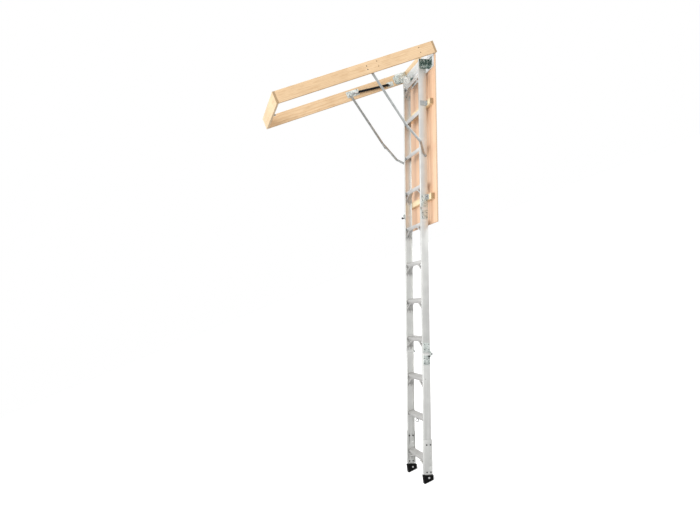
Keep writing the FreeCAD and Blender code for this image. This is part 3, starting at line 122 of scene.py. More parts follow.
# ---------------------------------------------------------------- frame boards
# Four planed pine boards with eased edges. The end boards cap the side boards, so
# their end grain shows at the corners. Open holes in the side boards take anchor bolts.
EASED = 0.0016
HOLE = 0.004
DRILL_REACH = 0.06
HOLE_X, HOLE_Z = (0.176, 0.550), (0.034, 0.075)
END_GRAIN = (0.40, 0.27, 0.145)


def start_material(name):
    """An empty material, its shader, and a short way to add a node and set its sockets."""
    material = bpy.data.materials.new(name)
    material.use_nodes = True
    tree = material.node_tree
    shader = tree.nodes["Principled BSDF"]

    def add(kind, settings=None, **sockets):
        node = tree.nodes.new(kind)
        for key, value in (settings or {}).items():
            setattr(node, key, value)
        for key, value in sockets.items():
            numbered = key[0] == "n" and key[1:].isdigit()
            socket = node.inputs[int(key[1:]) if numbered else key.replace("_", " ")]
            if isinstance(value, bpy.types.NodeSocket):
                tree.links.new(value, socket)
            else:
                socket.default_value = value
        return node

    def join(start, socket):
        tree.links.new(start, shader.inputs[socket])

    return material, shader, add, join


def shades(add, source, stops):
    """A colour ramp over a texture's value, as (place, colour) stops."""
    ramp = add("ShaderNodeValToRGB", Fac=source)
    elements = ramp.color_ramp.elements
    while len(elements) < len(stops):
        elements.new(0.5)
    for element, (place, colour) in zip(elements, stops):
        element.position = place
        element.color = (*colour[:3], 1)
    return ramp.outputs["Color"]


def multiplied(add, amount, under, over):
    """One colour multiplied by another, by a given amount."""
    mix = add("ShaderNodeMix", {"data_type": "RGBA", "blend_type": "MULTIPLY"}, n0=amount, n6=under, n7=over)
    return mix.outputs[2]


def pine(name, turn, light, dark, shift=(0, 0, 0)):
    """Planed softwood with its grain along X once the mapping has turned it there."""
    material, shader, add, join = start_material(name)
    coords = add("ShaderNodeTexCoord")
    place = add("ShaderNodeMapping", Vector=coords.outputs["Object"], Rotation=turn, Location=shift)
    long = add("ShaderNodeMapping", Vector=place.outputs["Vector"], Scale=(1.1, 13.0, 13.0))
    sway = add("ShaderNodeTexNoise", Vector=long.outputs["Vector"], Scale=0.9, Detail=3.0, Roughness=0.55)
    bent = add("ShaderNodeMix", {"data_type": "VECTOR"}, n0=0.3, n4=long.outputs["Vector"],
               n5=sway.outputs["Color"])
    rings = add("ShaderNodeTexWave", {"wave_type": "RINGS", "rings_direction": "X"}, Vector=bent.outputs[1],
                Scale=3.1, Distortion=2.2, Detail=4.0, Detail_Scale=1.6, Detail_Roughness=0.6)
    streaks = add("ShaderNodeMapping", Vector=place.outputs["Vector"], Scale=(9.0, 300.0, 300.0))
    fibre = add("ShaderNodeTexNoise", Vector=streaks.outputs["Vector"], Scale=1.0, Detail=4.0, Roughness=0.6)
    flecks = add("ShaderNodeMapping", Vector=place.outputs["Vector"], Scale=(14.0, 90.0, 90.0))
    fleck = add("ShaderNodeTexNoise", Vector=flecks.outputs["Vector"], Scale=1.0, Detail=2.0)
    cloud = add("ShaderNodeTexNoise", Vector=place.outputs["Vector"], Scale=3.4, Detail=3.0)
    body = shades(add, rings.outputs["Fac"], ((0.0, light), (0.5, light), (0.95, dark)))
    tint = multiplied(add, 0.45, body, shades(add, fibre.outputs["Fac"], (
        (0.3, (0.76, 0.70, 0.62)), (0.7, (1.06, 1.04, 1.02)))))
    speck = multiplied(add, 0.5, tint, shades(add, fleck.outputs["Fac"], (
        (0.36, (0.84, 0.77, 0.68)), (0.48, (1, 1, 1)), (0.72, (1.05, 1.04, 1.02)))))
    warm = multiplied(add, 0.7, speck, shades(add, cloud.outputs["Fac"], (
        (0.35, (0.92, 0.87, 0.80)), (0.65, (1.05, 1.04, 1.02)))))
    # Small knots, wide apart, with a darker ring
    spots = add("ShaderNodeMapping", Vector=place.outputs["Vector"], Scale=(2.3, 9.0, 9.0))
    knots = add("ShaderNodeTexVoronoi", Vector=spots.outputs["Vector"], Scale=1.0, Randomness=1.0)
    knotted = multiplied(add, 1.0, warm, shades(add, knots.outputs["Distance"], (
        (0.0, (0.34, 0.20, 0.11)), (0.045, (0.42, 0.27, 0.16)),
        (0.07, (0.86, 0.76, 0.64)), (0.11, (1, 1, 1)))))
    # End grain: growth rings across the cut, darker than the faces
    facing = add("ShaderNodeMapping", {"vector_type": "NORMAL"}, Vector=coords.outputs["Normal"],
                 Rotation=turn)
    split = add("ShaderNodeSeparateXYZ", Vector=facing.outputs["Vector"])
    size = add("ShaderNodeMath", {"operation": "ABSOLUTE"}, n0=split.outputs["X"])
    cut = add("ShaderNodeMath", {"operation": "GREATER_THAN"}, n0=size.outputs[0], n1=0.75)
    year = add("ShaderNodeTexWave", {"wave_type": "RINGS", "rings_direction": "X"},
               Vector=place.outputs["Vector"], Scale=34.0, Distortion=1.5, Detail=2.0)
    ends = shades(add, year.outputs["Fac"], ((0.0, END_GRAIN), (0.7, [c * 1.35 for c in END_GRAIN]),
                                            (1.0, [c * 0.62 for c in END_GRAIN])))
    whole = add("ShaderNodeMix", {"data_type": "RGBA"}, n0=cut.outputs[0], n6=knotted, n7=ends)
    join(whole.outputs[2], "Base Color")
    relief = add("ShaderNodeBump", Height=fibre.outputs["Fac"], Strength=0.16, Distance=0.0006)
    join(relief.outputs["Normal"], "Normal")
    shine = add("ShaderNodeMapRange", Value=rings.outputs["Fac"], n3=0.62, n4=0.48)
    join(shine.outputs[0], "Roughness")
    return material


def block(name, low, high, eased, steps=3):
    """A squared length of wood or metal with its edges eased, between two corners."""
    bpy.ops.object.select_all(action="DESELECT")
    bpy.ops.mesh.primitive_cube_add(size=1, location=[(a + b) / 2 for a, b in zip(low, high)],
                                    scale=[b - a for a, b in zip(low, high)])
    piece = bpy.context.object
    piece.name = name
    bpy.ops.object.transform_apply(location=True, rotation=True, scale=True)
    bpy.ops.object.mode_set(mode="EDIT")
    bpy.ops.mesh.select_all(action="SELECT")
    bpy.ops.mesh.bevel(offset=eased, segments=steps, profile=0.5)
    bpy.ops.object.mode_set(mode="OBJECT")
    return piece


def pick(*pieces):
    """Select these pieces and nothing else, with the first of them active."""
    bpy.ops.object.select_all(action="DESELECT")
    for piece in pieces:
        piece.select_set(True)
    bpy.context.view_layer.objects.active = pieces[0]


def as_one(pieces):
    """Join pieces into the first of them."""
    pick(*pieces)
    bpy.ops.object.join()
    return bpy.context.object


def smooth(piece, angle=35):
    """Shade a piece smooth, apart from edges sharper than the angle."""
    pick(piece)
    bpy.ops.object.shade_smooth_by_angle(angle=math.radians(angle))


def fasten(piece, body, slot, material, *nodes):
    """Give a finished piece its material, its body and what it stands for; the slot argument is not used."""
    piece.data.materials.clear()
    piece.data.materials.append(material)
    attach(piece, body)
    if nodes:
        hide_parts(*nodes)


def drilled(piece, tools):
    """Cut the joined tools out of a piece."""
    cutter = as_one(tools)
    pick(piece)
    cut = piece.modifiers.new("Drilled", "BOOLEAN")
    cut.object = cutter
    cut.solver = "EXACT"
    bpy.ops.object.modifier_apply(modifier="Drilled")
    bpy.data.objects.remove(cutter)


ACROSS = (0, 0, math.radians(90))
side_pine = pine("pine_side_boards", (0, 0, 0), (0.80, 0.60, 0.385), (0.735, 0.52, 0.31), (0.9, 0.33, 0.4))
end_pine = pine("pine_end_boards", ACROSS, (0.86, 0.68, 0.45), (0.80, 0.60, 0.37), (0.1, 0.6, 0.3))
for node in ("side_board_right", "side_board_left"):
    low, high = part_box(node)
    board = block(f"{node}_planed", low, high, EASED)
    tools = []
    for x in HOLE_X:
        for z in HOLE_Z:
            bpy.ops.mesh.primitive_cylinder_add(vertices=24, radius=HOLE, depth=DRILL_REACH,
                                                location=(x, (low[1] + high[1]) / 2, z),
                                                rotation=(math.pi / 2, 0, 0))
            tools.append(bpy.context.object)
    drilled(board, tools)
    smooth(board)
    fasten(board, "frame", "pine", side_pine, node)
for node in ("hinge_end_board", "latch_end_board"):
    board = block(f"{node}_planed", *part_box(node), EASED)
    smooth(board)
    fasten(board, "frame", "pine", end_pine, node)

# ---------------------------------------------------------------- door panel
# A flat plywood panel hung on the long hinge. Its face veneer runs the length of the
# door and the thin plies show at its edges.
HINGE = Vector((0.6625, 0, -0.001))
SLOPE = math.radians(67.5)
DOWN = Vector((-math.cos(SLOPE), 0, -math.sin(SLOPE)))
FRONT = Vector((-math.sin(SLOPE), 0, math.cos(SLOPE)))
LADDER = Matrix(((DOWN.x, 0, FRONT.x, HINGE.x),
                 (0, -1, 0, 0),
                 (DOWN.z, 0, FRONT.z, HINGE.z),
                 (0, 0, 0, 1)))
ALONG_LADDER = (0, SLOPE + math.pi, 0)
DOOR_LOW, DOOR_HIGH = (0.006, -0.316, -0.0115), (1.3455, 0.316, -0.002)
PLY = 0.0019


def hang(piece):
    """Turn a piece drawn along the ladder into its place in the object."""
    pick(piece)
    piece.matrix_world = LADDER
    bpy.ops.object.transform_apply(location=True, rotation=True, scale=True)


plywood, shader, add, join = start_material("plywood_door")
coords = add("ShaderNodeTexCoord")
place = add("ShaderNodeMapping", Vector=coords.outputs["Object"], Rotation=ALONG_LADDER)
long = add("ShaderNodeMapping", Vector=place.outputs["Vector"], Scale=(0.5, 3.2, 3.2))
figure = add("ShaderNodeTexNoise", Vector=long.outputs["Vector"], Scale=1.5, Detail=5.0, Roughness=0.6,
             Distortion=0.7)
bands = add("ShaderNodeTexWave", {"bands_direction": "Y"}, Vector=long.outputs["Vector"], Scale=2.3,
            Distortion=7.0, Detail=3.0, Detail_Scale=0.9)
pores = add("ShaderNodeMapping", Vector=place.outputs["Vector"], Scale=(9.0, 420.0, 420.0))
fibre = add("ShaderNodeTexNoise", Vector=pores.outputs["Vector"], Scale=1.0, Detail=3.0)
veneer = shades(add, figure.outputs["Fac"], (
    (0.30, (0.78, 0.50, 0.32)), (0.5, (0.84, 0.56, 0.37)), (0.72, (0.87, 0.62, 0.44))))
lines = multiplied(add, 0.5, veneer, shades(add, bands.outputs["Fac"], (
    (0.0, (1.03, 1.02, 1.0)), (0.75, (1, 0.98, 0.95)), (1.0, (0.84, 0.74, 0.64)))))
grain = multiplied(add, 0.3, lines, shades(add, fibre.outputs["Fac"], (
    (0.32, (0.72, 0.62, 0.54)), (0.6, (1.05, 1.04, 1.02)))))
facing = add("ShaderNodeMapping", {"vector_type": "NORMAL"}, Vector=coords.outputs["Normal"],
             Rotation=ALONG_LADDER)
split = add("ShaderNodeSeparateXYZ", Vector=facing.outputs["Vector"])
flat = add("ShaderNodeMath", {"operation": "ABSOLUTE"}, n0=split.outputs["Z"])
edge = add("ShaderNodeMath", {"operation": "LESS_THAN"}, n0=flat.outputs[0], n1=0.5)
depth = add("ShaderNodeSeparateXYZ", Vector=place.outputs["Vector"])
layer = add("ShaderNodeMath", {"operation": "PINGPONG"}, n0=depth.outputs["Z"], n1=PLY)
plies = add("ShaderNodeMapRange", Value=layer.outputs[0], n1=0.0, n2=PLY)
whole = add("ShaderNodeMix", {"data_type": "RGBA"}, n0=edge.outputs[0], n6=grain,
            n7=shades(add, plies.outputs[0], (
                (0.30, (0.36, 0.20, 0.11)), (0.42, (0.78, 0.56, 0.36)), (1.0, (0.86, 0.66, 0.45)))))
join(whole.outputs[2], "Base Color")
relief = add("ShaderNodeBump", Height=fibre.outputs["Fac"], Strength=0.12, Distance=0.0005)
join(relief.outputs["Normal"], "Normal")
shine = add("ShaderNodeMapRange", Value=figure.outputs["Fac"], n3=0.55, n4=0.42)
join(shine.outputs[0], "Roughness")

panel = block("door_panel_plywood", DOOR_LOW, DOOR_HIGH, 0.0007, 2)
smooth(panel)
hang(panel)
fasten(panel, "door", "plywood", plywood, "door_panel")

# ---------------------------------------------------------------- door battens
# Two pine battens screwed across the door, which hold the upper rails off it.
BATTEN_STARTS = (0.348, 1.110)
BATTEN_WIDTH, BATTEN_HALF, BATTEN_TOP = 0.048, 0.27, 0.028
batten_pine = pine("pine_battens", ACROSS, (0.90, 0.76, 0.52), (0.84, 0.68, 0.44), (0.7, 0.2, 0.9))
battens = as_one([block(f"batten_{index}", (start, -BATTEN_HALF, DOOR_HIGH[2]),
                        (start + BATTEN_WIDTH, BATTEN_HALF, BATTEN_TOP), 0.0022)
                  for index, start in enumerate(BATTEN_STARTS)])
battens.name = "door_battens_planed"
smooth(battens)
hang(battens)
fasten(battens, "door", "pine", batten_pine, "door_battens")

# ---------------------------------------------------------------- extruded aluminium
# Rails, treads, braces and leg sleeves are mill-finish aluminium: pale, with faint
# drawing lines down their length and slightly softened corners.
ALUMINIUM = (0.76, 0.765, 0.74)
SAME_POINT = 0.00002


def extruded(name, turn, colour=ALUMINIUM, rough=(0.34, 0.50)):
    """Mill-finish aluminium whose drawing lines run along X once turned."""
    material, shader, add, join = start_material(name)
    coords = add("ShaderNodeTexCoord")
    place = add("ShaderNodeMapping", Vector=coords.outputs["Object"], Rotation=turn)
    fine = add("ShaderNodeMapping", Vector=place.outputs["Vector"], Scale=(1.5, 700.0, 700.0))
    lines = add("ShaderNodeTexNoise", Vector=fine.outputs["Vector"], Scale=1.0, Detail=3.0, Roughness=0.6)
    cloud = add("ShaderNodeTexNoise", Vector=place.outputs["Vector"], Scale=14.0, Detail=4.0)
    tone = shades(add, cloud.outputs["Fac"], ((0.35, [c * 0.93 for c in colour[:3]]), (0.65, colour)))
    drawn = multiplied(add, 0.5, tone, shades(add, lines.outputs["Fac"], (
        (0.3, (0.86, 0.86, 0.87)), (0.7, (1.03, 1.03, 1.03)))))
    join(drawn, "Base Color")
    mixed = add("ShaderNodeMath", {"operation": "MULTIPLY_ADD"}, n0=lines.outputs["Fac"], n1=0.35,
                n2=cloud.outputs["Fac"])
    shine = add("ShaderNodeMapRange", Value=mixed.outputs[0], n1=0.35, n2=1.0, n3=rough[0], n4=rough[1])
    join(shine.outputs[0], "Roughness")
    relief = add("ShaderNodeBump", Height=lines.outputs["Fac"], Strength=0.10, Distance=0.0002)
    join(relief.outputs["Normal"], "Normal")
    shader.inputs["Metallic"].default_value = 0.85
    return material


def softened(node, width, steps=2, angle=38):
    """A copy of a part's mesh with its triangles joined up and its sharp edges eased."""
    piece = bpy.data.objects.new(f"{node}_eased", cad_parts[node].data.copy())
    bpy.context.collection.objects.link(piece)
    pick(piece)
    bpy.ops.object.mode_set(mode="EDIT")
    bpy.ops.mesh.select_all(action="SELECT")
    bpy.ops.mesh.remove_doubles(threshold=SAME_POINT)
    bpy.ops.mesh.dissolve_limited(angle_limit=math.radians(0.6))
    bpy.ops.object.mode_set(mode="OBJECT")
    ease = piece.modifiers.new("Eased", "BEVEL")
    ease.width = width
    ease.segments = steps
    ease.limit_method = "ANGLE"
    ease.angle_limit = math.radians(angle)
    ease.use_clamp_overlap = True
    bpy.ops.object.modifier_apply(modifier="Eased")
    bpy.ops.object.shade_smooth_by_angle(angle=math.radians(32))
    return piece


rail_metal = extruded("aluminium_rails", ALONG_LADDER)
# Treads and braces take the rails' aluminium in darker tones: painted shade for their undersides.
shaded_tread_metal = extruded("aluminium_treads_painted_shade", ACROSS, (0.66, 0.652, 0.635), (0.36, 0.52))
for section, body in (("upper", "door"), ("middle", "middle_section"), ("lower", "lower_section")):
    for side in ("right", "left"):
        rail = softened(f"{section}_rail_{side}", 0.0008)
        fasten(rail, body, "aluminium", rail_metal, f"{section}_rail_{side}")
    treads = softened(f"{section}_treads", 0.0003)
    fasten(treads, body, "aluminium", shaded_tread_metal, f"{section}_treads")
    braces = softened(f"{section}_braces", 0.0004)
    fasten(braces, body, "aluminium", shaded_tread_metal, f"{section}_braces")
for side in ("right", "left"):
    sleeve = softened(f"leg_sleeve_{side}", 0.0006)
    fasten(sleeve, f"leg_{side}", "aluminium", rail_metal, f"leg_sleeve_{side}")

# ---------------------------------------------------------------- galvanised plates
# Pressed sheet steel, hot-dip galvanised: crystals of zinc in slightly different greys.
def zinc_coated(name, dark, middle, pale):
    """Hot-dip zinc whose crystals take one of three neighbouring tones."""
    material, shader, add, join = start_material(name)
    coords = add("ShaderNodeTexCoord")
    warp = add("ShaderNodeTexNoise", Vector=coords.outputs["Object"], Scale=60.0, Detail=2.0)
    bent = add("ShaderNodeMix", {"data_type": "VECTOR"}, n0=0.012, n4=coords.outputs["Object"],
               n5=warp.outputs["Color"])
    flake = add("ShaderNodeTexVoronoi", Vector=bent.outputs[1], Scale=110.0)
    tone = add("ShaderNodeSeparateColor", n0=flake.outputs["Color"])
    join(shades(add, tone.outputs[0], ((0.1, dark), (0.5, middle), (0.9, pale))), "Base Color")
    shine = add("ShaderNodeMapRange", Value=tone.outputs[1], n3=0.30, n4=0.58)
    join(shine.outputs[0], "Roughness")
    relief = add("ShaderNodeBump", Height=tone.outputs[0], Strength=0.08, Distance=0.0002)
    join(relief.outputs["Normal"], "Normal")
    shader.inputs["Metallic"].default_value = 0.85
    return material


galvanised = zinc_coated("galvanised_steel", (0.48, 0.53, 0.505), (0.62, 0.665, 0.64), (0.78, 0.815, 0.79))
# The rail brackets take the same zinc in much darker, greener tones.
dark_zinc = zinc_coated("dark_galvanised_steel", (0.045, 0.095, 0.085), (0.13, 0.19, 0.17),
                        (0.42, 0.50, 0.46))
for node, body, zinc in (("upper_hinge_plates", "door", galvanised),
                         ("rail_bracket_right", "door", dark_zinc),
                         ("rail_bracket_left", "door", dark_zinc),
                         ("middle_head_plates", "middle_section", galvanised),
                         ("middle_foot_plates", "middle_section", galvanised),
                         ("lower_hinge_plates", "lower_section", galvanised),
                         ("arm_brackets", "frame", galvanised),
                         ("strut_anchors", "frame", galvanised),
                         ("corner_plates", "frame", galvanised)):
    fasten(softened(node, 0.0005), body, "galvanised", zinc, node)

# ---------------------------------------------------------------- plated steel
# Arms, pins, clamps and latch: pressed or forged steel with a bright, cloudy zinc
# plate that is scuffed where hands and neighbours rub it.
def plate_finish(name, dark, pale, rough):
    """Zinc plate with clouds of tone and a few fine scuffs."""
    material, shader, add, join = start_material(name)
    coords = add("ShaderNodeTexCoord")
    cloud = add("ShaderNodeTexNoise", Vector=coords.outputs["Object"], Scale=38.0, Detail=5.0, Roughness=0.6)
    scuff = add("ShaderNodeMapping", Vector=coords.outputs["Object"], Rotation=(0.3, 0.9, 0.2),
                Scale=(60.0, 900.0, 300.0))
    marks = add("ShaderNodeTexNoise", Vector=scuff.outputs["Vector"], Scale=1.0, Detail=2.0)
    tone = shades(add, cloud.outputs["Fac"], ((0.3, dark), (0.7, pale)))
    worn = multiplied(add, 0.5, tone, shades(add, marks.outputs["Fac"], (
        (0.25, (0.70, 0.70, 0.70)), (0.45, (1, 1, 1)), (0.75, (1.12, 1.12, 1.12)))))
    join(worn, "Base Color")
    shine = add("ShaderNodeMapRange", Value=cloud.outputs["Fac"], n3=rough[0], n4=rough[1])
    join(shine.outputs[0], "Roughness")
    relief = add("ShaderNodeBump", Height=marks.outputs["Fac"], Strength=0.06, Distance=0.0002)
    join(relief.outputs["Normal"], "Normal")
    shader.inputs["Metallic"].default_value = 0.9
    return material


plated = plate_finish("zinc_plated_steel", (0.34, 0.355, 0.35), (0.50, 0.515, 0.51), (0.28, 0.48))
# Near-black steel for the rivets on the plates, the tread loop and the leg bolts.
dark_rivets = plate_finish("near_black_rivets", (0.035, 0.037, 0.038), (0.09, 0.095, 0.095), (0.45, 0.65))
bright_plate = plate_finish("bright_zinc_steel", (0.60, 0.61, 0.61), (0.78, 0.79, 0.79), (0.22, 0.38))
for node, body, width in (("hinge_pin", "frame", 0.0003), ("latch_plate", "frame", 0.0004),
                          ("latch_lever", "latch_lever", 0.0005), ("upper_fold_pins", "door", 0.0002),
                          ("rail_clamps", "door", 0.0005), ("door_strike", "door", 0.0003),
                          ("lower_fold_pins", "middle_section", 0.0002),
                          ("upper_arm_right", "upper_arm_right", 0.0006),
                          ("upper_arm_left", "upper_arm_left", 0.0006),
                          ("lower_arm_right", "lower_arm_right", 0.0006),
                          ("lower_arm_left", "lower_arm_left", 0.0006)):
    fasten(softened(node, width), body, "zinc_steel", plated, node)
fasten(softened("tread_loop", 0.00005), "lower_section", "zinc_steel", dark_rivets, "tread_loop")
for side in ("right", "left"):
    bolts = softened(f"leg_bolts_{side}", 0.0002)
    fasten(bolts, f"leg_{side}", "zinc_steel", dark_rivets, f"leg_bolts_{side}")
    bolt = softened(f"foot_bolt_{side}", 0.0003)
    fasten(bolt, f"leg_{side}", "zinc_steel", bright_plate, f"foot_bolt_{side}")

# ---------------------------------------------------------------- hinge leaves
# Two long leaves of white-coated sheet steel on one pin. A row of flat rivets holds
# each to its board or door.
coated, shader, add, join = start_material("white_coated_steel")
coords = add("ShaderNodeTexCoord")
cloud = add("ShaderNodeTexNoise", Vector=coords.outputs["Object"], Scale=22.0, Detail=4.0)
join(shades(add, cloud.outputs["Fac"], ((0.3, (0.76, 0.77, 0.77)), (0.7, (0.84, 0.85, 0.85)))), "Base Color")
shine = add("ShaderNodeMapRange", Value=cloud.outputs["Fac"], n3=0.30, n4=0.45)
join(shine.outputs[0], "Roughness")
peel = add("ShaderNodeTexNoise", Vector=coords.outputs["Object"], Scale=420.0, Detail=1.0)
relief = add("ShaderNodeBump", Height=peel.outputs["Fac"], Strength=0.05, Distance=0.0003)
join(relief.outputs["Normal"], "Normal")
shader.inputs["Metallic"].default_value = 0.45
fasten(softened("frame_hinge_leaf", 0.0004), "frame", "white_steel", coated, "frame_hinge_leaf")
fasten(softened("door_hinge_leaf", 0.0004), "door", "white_steel", coated, "door_hinge_leaf")

# ---------------------------------------------------------------- rivets and screws
# Blind rivets with the dimple of their pulled stem, and pan-head screws with a cross
# cut in them. Each stands where the frame, door or ladder has one of its heads.
def fastener(radius, rise, crossed):
    """One head at the origin, standing up, with a dimple or a cross in its crown."""
    bpy.ops.object.select_all(action="DESELECT")
    bpy.ops.mesh.primitive_cylinder_add(vertices=24, radius=radius, depth=rise, location=(0, 0, rise / 2))
    piece = bpy.context.object
    bpy.ops.object.transform_apply(location=True, rotation=True, scale=True)
    crown = piece.modifiers.new("Crown", "BEVEL")
    crown.width = rise * 0.7
    crown.segments = 4
    crown.limit_method = "ANGLE"
    crown.angle_limit = math.radians(60)
    bpy.ops.object.modifier_apply(modifier="Crown")
    if crossed:
        bars = []
        for turn in (0, math.pi / 2):
            bpy.ops.mesh.primitive_cube_add(size=1, location=(0, 0, rise), rotation=(0, 0, turn),
                                            scale=(radius * 1.15, radius * 0.24, rise * 0.9))
            bars.append(bpy.context.object)
        drilled(piece, bars[:1])
        drilled(piece, bars[1:])
    else:
        for face in piece.data.polygons:
            face.select = face.normal.z > 0.999 and face.center.z > rise * 0.99
        bpy.ops.object.mode_set(mode="EDIT")
        bpy.ops.mesh.inset(thickness=radius * 0.12)
        bpy.ops.mesh.extrude_region_move(TRANSFORM_OT_translate={"value": (0, 0, -rise * 0.45)})
        bpy.ops.object.mode_set(mode="OBJECT")
    smooth(piece, 40)
    return piece


def head_places(node, facing=1):
    """Where each head of a part sits, which way it faces, and its radius and rise."""
    copy = bpy.data.objects.new("heads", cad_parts[node].data.copy())
    bpy.context.collection.objects.link(copy)
    pick(copy)
    bpy.ops.object.mode_set(mode="EDIT")
    bpy.ops.mesh.select_all(action="SELECT")
    bpy.ops.mesh.remove_doubles(threshold=SAME_POINT)
    bpy.ops.mesh.separate(type="LOOSE")
    bpy.ops.object.mode_set(mode="OBJECT")
    found = []
    for part in list(bpy.context.selected_objects):
        spots = [LADDER.inverted() @ vertex.co for vertex in part.data.vertices]
        low = Vector([min(spot[axis] for spot in spots) for axis in range(3)])
        high = Vector([max(spot[axis] for spot in spots) for axis in range(3)])
        span = high - low
        middle = (low + high) / 2
        axis = min(range(3), key=lambda index: span[index])
        out = Vector([0, 0, 0])
        out[axis] = 1 if axis == 2 else math.copysign(facing, facing * middle.y)
        wide = max(span[index] for index in range(3) if index != axis) / 2
        found.append((middle - out * span[axis] / 2, out, wide, span[axis]))
        bpy.data.objects.remove(part)
    return found


def copies(name, pattern, places, matrix):
    """Copies of one head, each with its own mesh, joined as one piece and put in place."""
    made = []
    for spot, out, turn in places:
        piece = bpy.data.objects.new(name, pattern.data.copy())
        bpy.context.collection.objects.link(piece)
        stand = out.to_track_quat("Z", "Y").to_matrix().to_4x4()
        piece.matrix_world = matrix @ Matrix.Translation(spot) @ stand @ Matrix.Rotation(turn, 4, "Z")
        made.append(piece)
    joined = as_one(made)
    joined.name = name
    bpy.ops.object.transform_apply(location=True, rotation=True, scale=True)
    return joined


HEAD = 0.0045
WIDEST_RIVET, WIDEST_SCREW = 0.004, 0.006
LOW_RISE = 0.001
BEYOND_RAIL = 0.1975 + 0.001
rivet = fastener(0.0036, 0.0018, False)
screw = fastener(HEAD, 0.0022, True)
flat_screw = fastener(HEAD, 0.0007, True)
for section, body in (("upper", "door"), ("middle", "middle_section"), ("lower", "lower_section")):
    places = [(spot, out, 0) for spot, out, wide, rise in head_places(f"{section}_rivets")]
    on_plates = [place for place in places if abs(place[0].y) > BEYOND_RAIL]
    on_rails = [place for place in places if abs(place[0].y) <= BEYOND_RAIL]
    # Rivets on the plates are coloured near-black, those on the rails bright.
    heads = copies(f"{section}_plate_rivets", rivet, on_plates, LADDER)
    fasten(heads, body, "zinc_steel", dark_rivets, f"{section}_rivets")
    heads = copies(f"{section}_tread_rivets", rivet, on_rails, LADDER)
    fasten(heads, body, "zinc_steel", bright_plate)

STAY = Matrix.Identity(4)
frame_places = head_places("frame_screws", -1)
for name, pattern, low_head in (("frame_screw_heads", screw, False), ("frame_flat_heads", flat_screw, True)):
    places = [(spot, out, 1.1 * number) for number, (spot, out, wide, rise) in enumerate(frame_places)
              if (rise < LOW_RISE) == low_head]
    heads = copies(name, pattern, places, LADDER)
    if low_head:
        fasten(heads, "frame", "zinc_steel", bright_plate)
    else:
        fasten(heads, "frame", "zinc_steel", bright_plate, "frame_screws")

door_places = head_places("door_fasteners")
small = [(spot, out, 0) for spot, out, wide, rise in door_places if wide < WIDEST_RIVET]
large = [(spot, out, 0.7 * number) for number, (spot, out, wide, rise) in enumerate(door_places)
         if WIDEST_RIVET <= wide < WIDEST_SCREW]
clamp_rivets = copies("clamp_rivet_heads", rivet, small, LADDER)
fasten(clamp_rivets, "door", "zinc_steel", bright_plate, "door_fasteners")
fasten(copies("door_screw_heads", screw, large, LADDER), "door", "zinc_steel", bright_plate)

# ---------------------------------------------------------------- arm foot bolts
# A shouldered bolt holds each lower arm on the rail: a round shank and a low hexagon
# head with a flange under it.
SHANK_RADIUS = 0.005
FLANGE_RADIUS, FLANGE_THICK = 0.0092, 0.001
HEXAGON_RADIUS, HEXAGON_THICK = 0.0082, 0.0036
# How far the shank stops short of the part's own rise
SHORT_OF_RISE = 0.0034
bolts = []
for spot, out, wide, rise in door_places:
    if wide < WIDEST_SCREW:
        continue
    reach = rise - SHORT_OF_RISE
    for sides, radius, start, height in ((32, SHANK_RADIUS, 0, reach),
                                         (32, FLANGE_RADIUS, reach, FLANGE_THICK),
                                         (6, HEXAGON_RADIUS, reach + FLANGE_THICK, HEXAGON_THICK)):
        bpy.ops.object.select_all(action="DESELECT")
        bpy.ops.mesh.primitive_cylinder_add(vertices=sides, radius=radius, depth=height,
                                            location=(0, 0, start + height / 2))
        piece = bpy.context.object
        bpy.ops.object.transform_apply(location=True, rotation=True, scale=True)
        bpy.ops.object.mode_set(mode="EDIT")
        bpy.ops.mesh.bevel(offset=0.0003, segments=2)
        bpy.ops.object.mode_set(mode="OBJECT")
        stand = out.to_track_quat("Z", "Y").to_matrix().to_4x4()
        piece.matrix_world = LADDER @ Matrix.Translation(spot) @ stand
        bpy.ops.object.transform_apply(location=True, rotation=True, scale=True)
        bolts.append(piece)
bolts = as_one(bolts)
bolts.name = "arm_foot_bolts"
smooth(bolts)
fasten(bolts, "door", "zinc_steel", plated)

# ---------------------------------------------------------------- rivets of the hinge
# Low rivets along both hinge leaves, and the dark ends of the arm bracket bolts, two on
# the outside of each side board.
leaf_spots = [(Vector((0.068, y, 0)), Vector((0, 0, 1)), 0) for y in (-0.24, -0.12, 0, 0.12, 0.24)]
fasten(copies("door_leaf_rivets", rivet, leaf_spots, LADDER), "door", "zinc_steel", bright_plate)
board_spots = [(Vector((0.665, y, 0.040)), Vector((-1, 0, 0)), 0)
               for y in (-0.27, -0.18, -0.09, 0, 0.09, 0.18, 0.27)]
fasten(copies("frame_leaf_rivets", rivet, board_spots, STAY), "frame", "zinc_steel", bright_plate)
dark_bolt, shader, add, join = start_material("oiled_bolt_ends")
coords = add("ShaderNodeTexCoord")
cloud = add("ShaderNodeTexNoise", Vector=coords.outputs["Object"], Scale=300.0, Detail=3.0)
join(shades(add, cloud.outputs["Fac"], ((0.3, (0.06, 0.05, 0.045)), (0.7, (0.13, 0.12, 0.11)))), "Base Color")
shader.inputs["Metallic"].default_value = 0.7
shader.inputs["Roughness"].default_value = 0.45
BOARD_FACE = 0.324
bolt_end = fastener(HEAD, 0.0009, False)
ends = [(Vector((0.083, side * BOARD_FACE, z)), Vector((0, side, 0)), 0)
        for side in (-1, 1) for z in (0.062, 0.034)]
fasten(copies("bracket_bolt_ends", bolt_end, ends, STAY), "frame", "zinc_steel", dark_bolt)
for pattern in (rivet, screw, flat_screw, bolt_end):
    bpy.data.objects.remove(pattern)

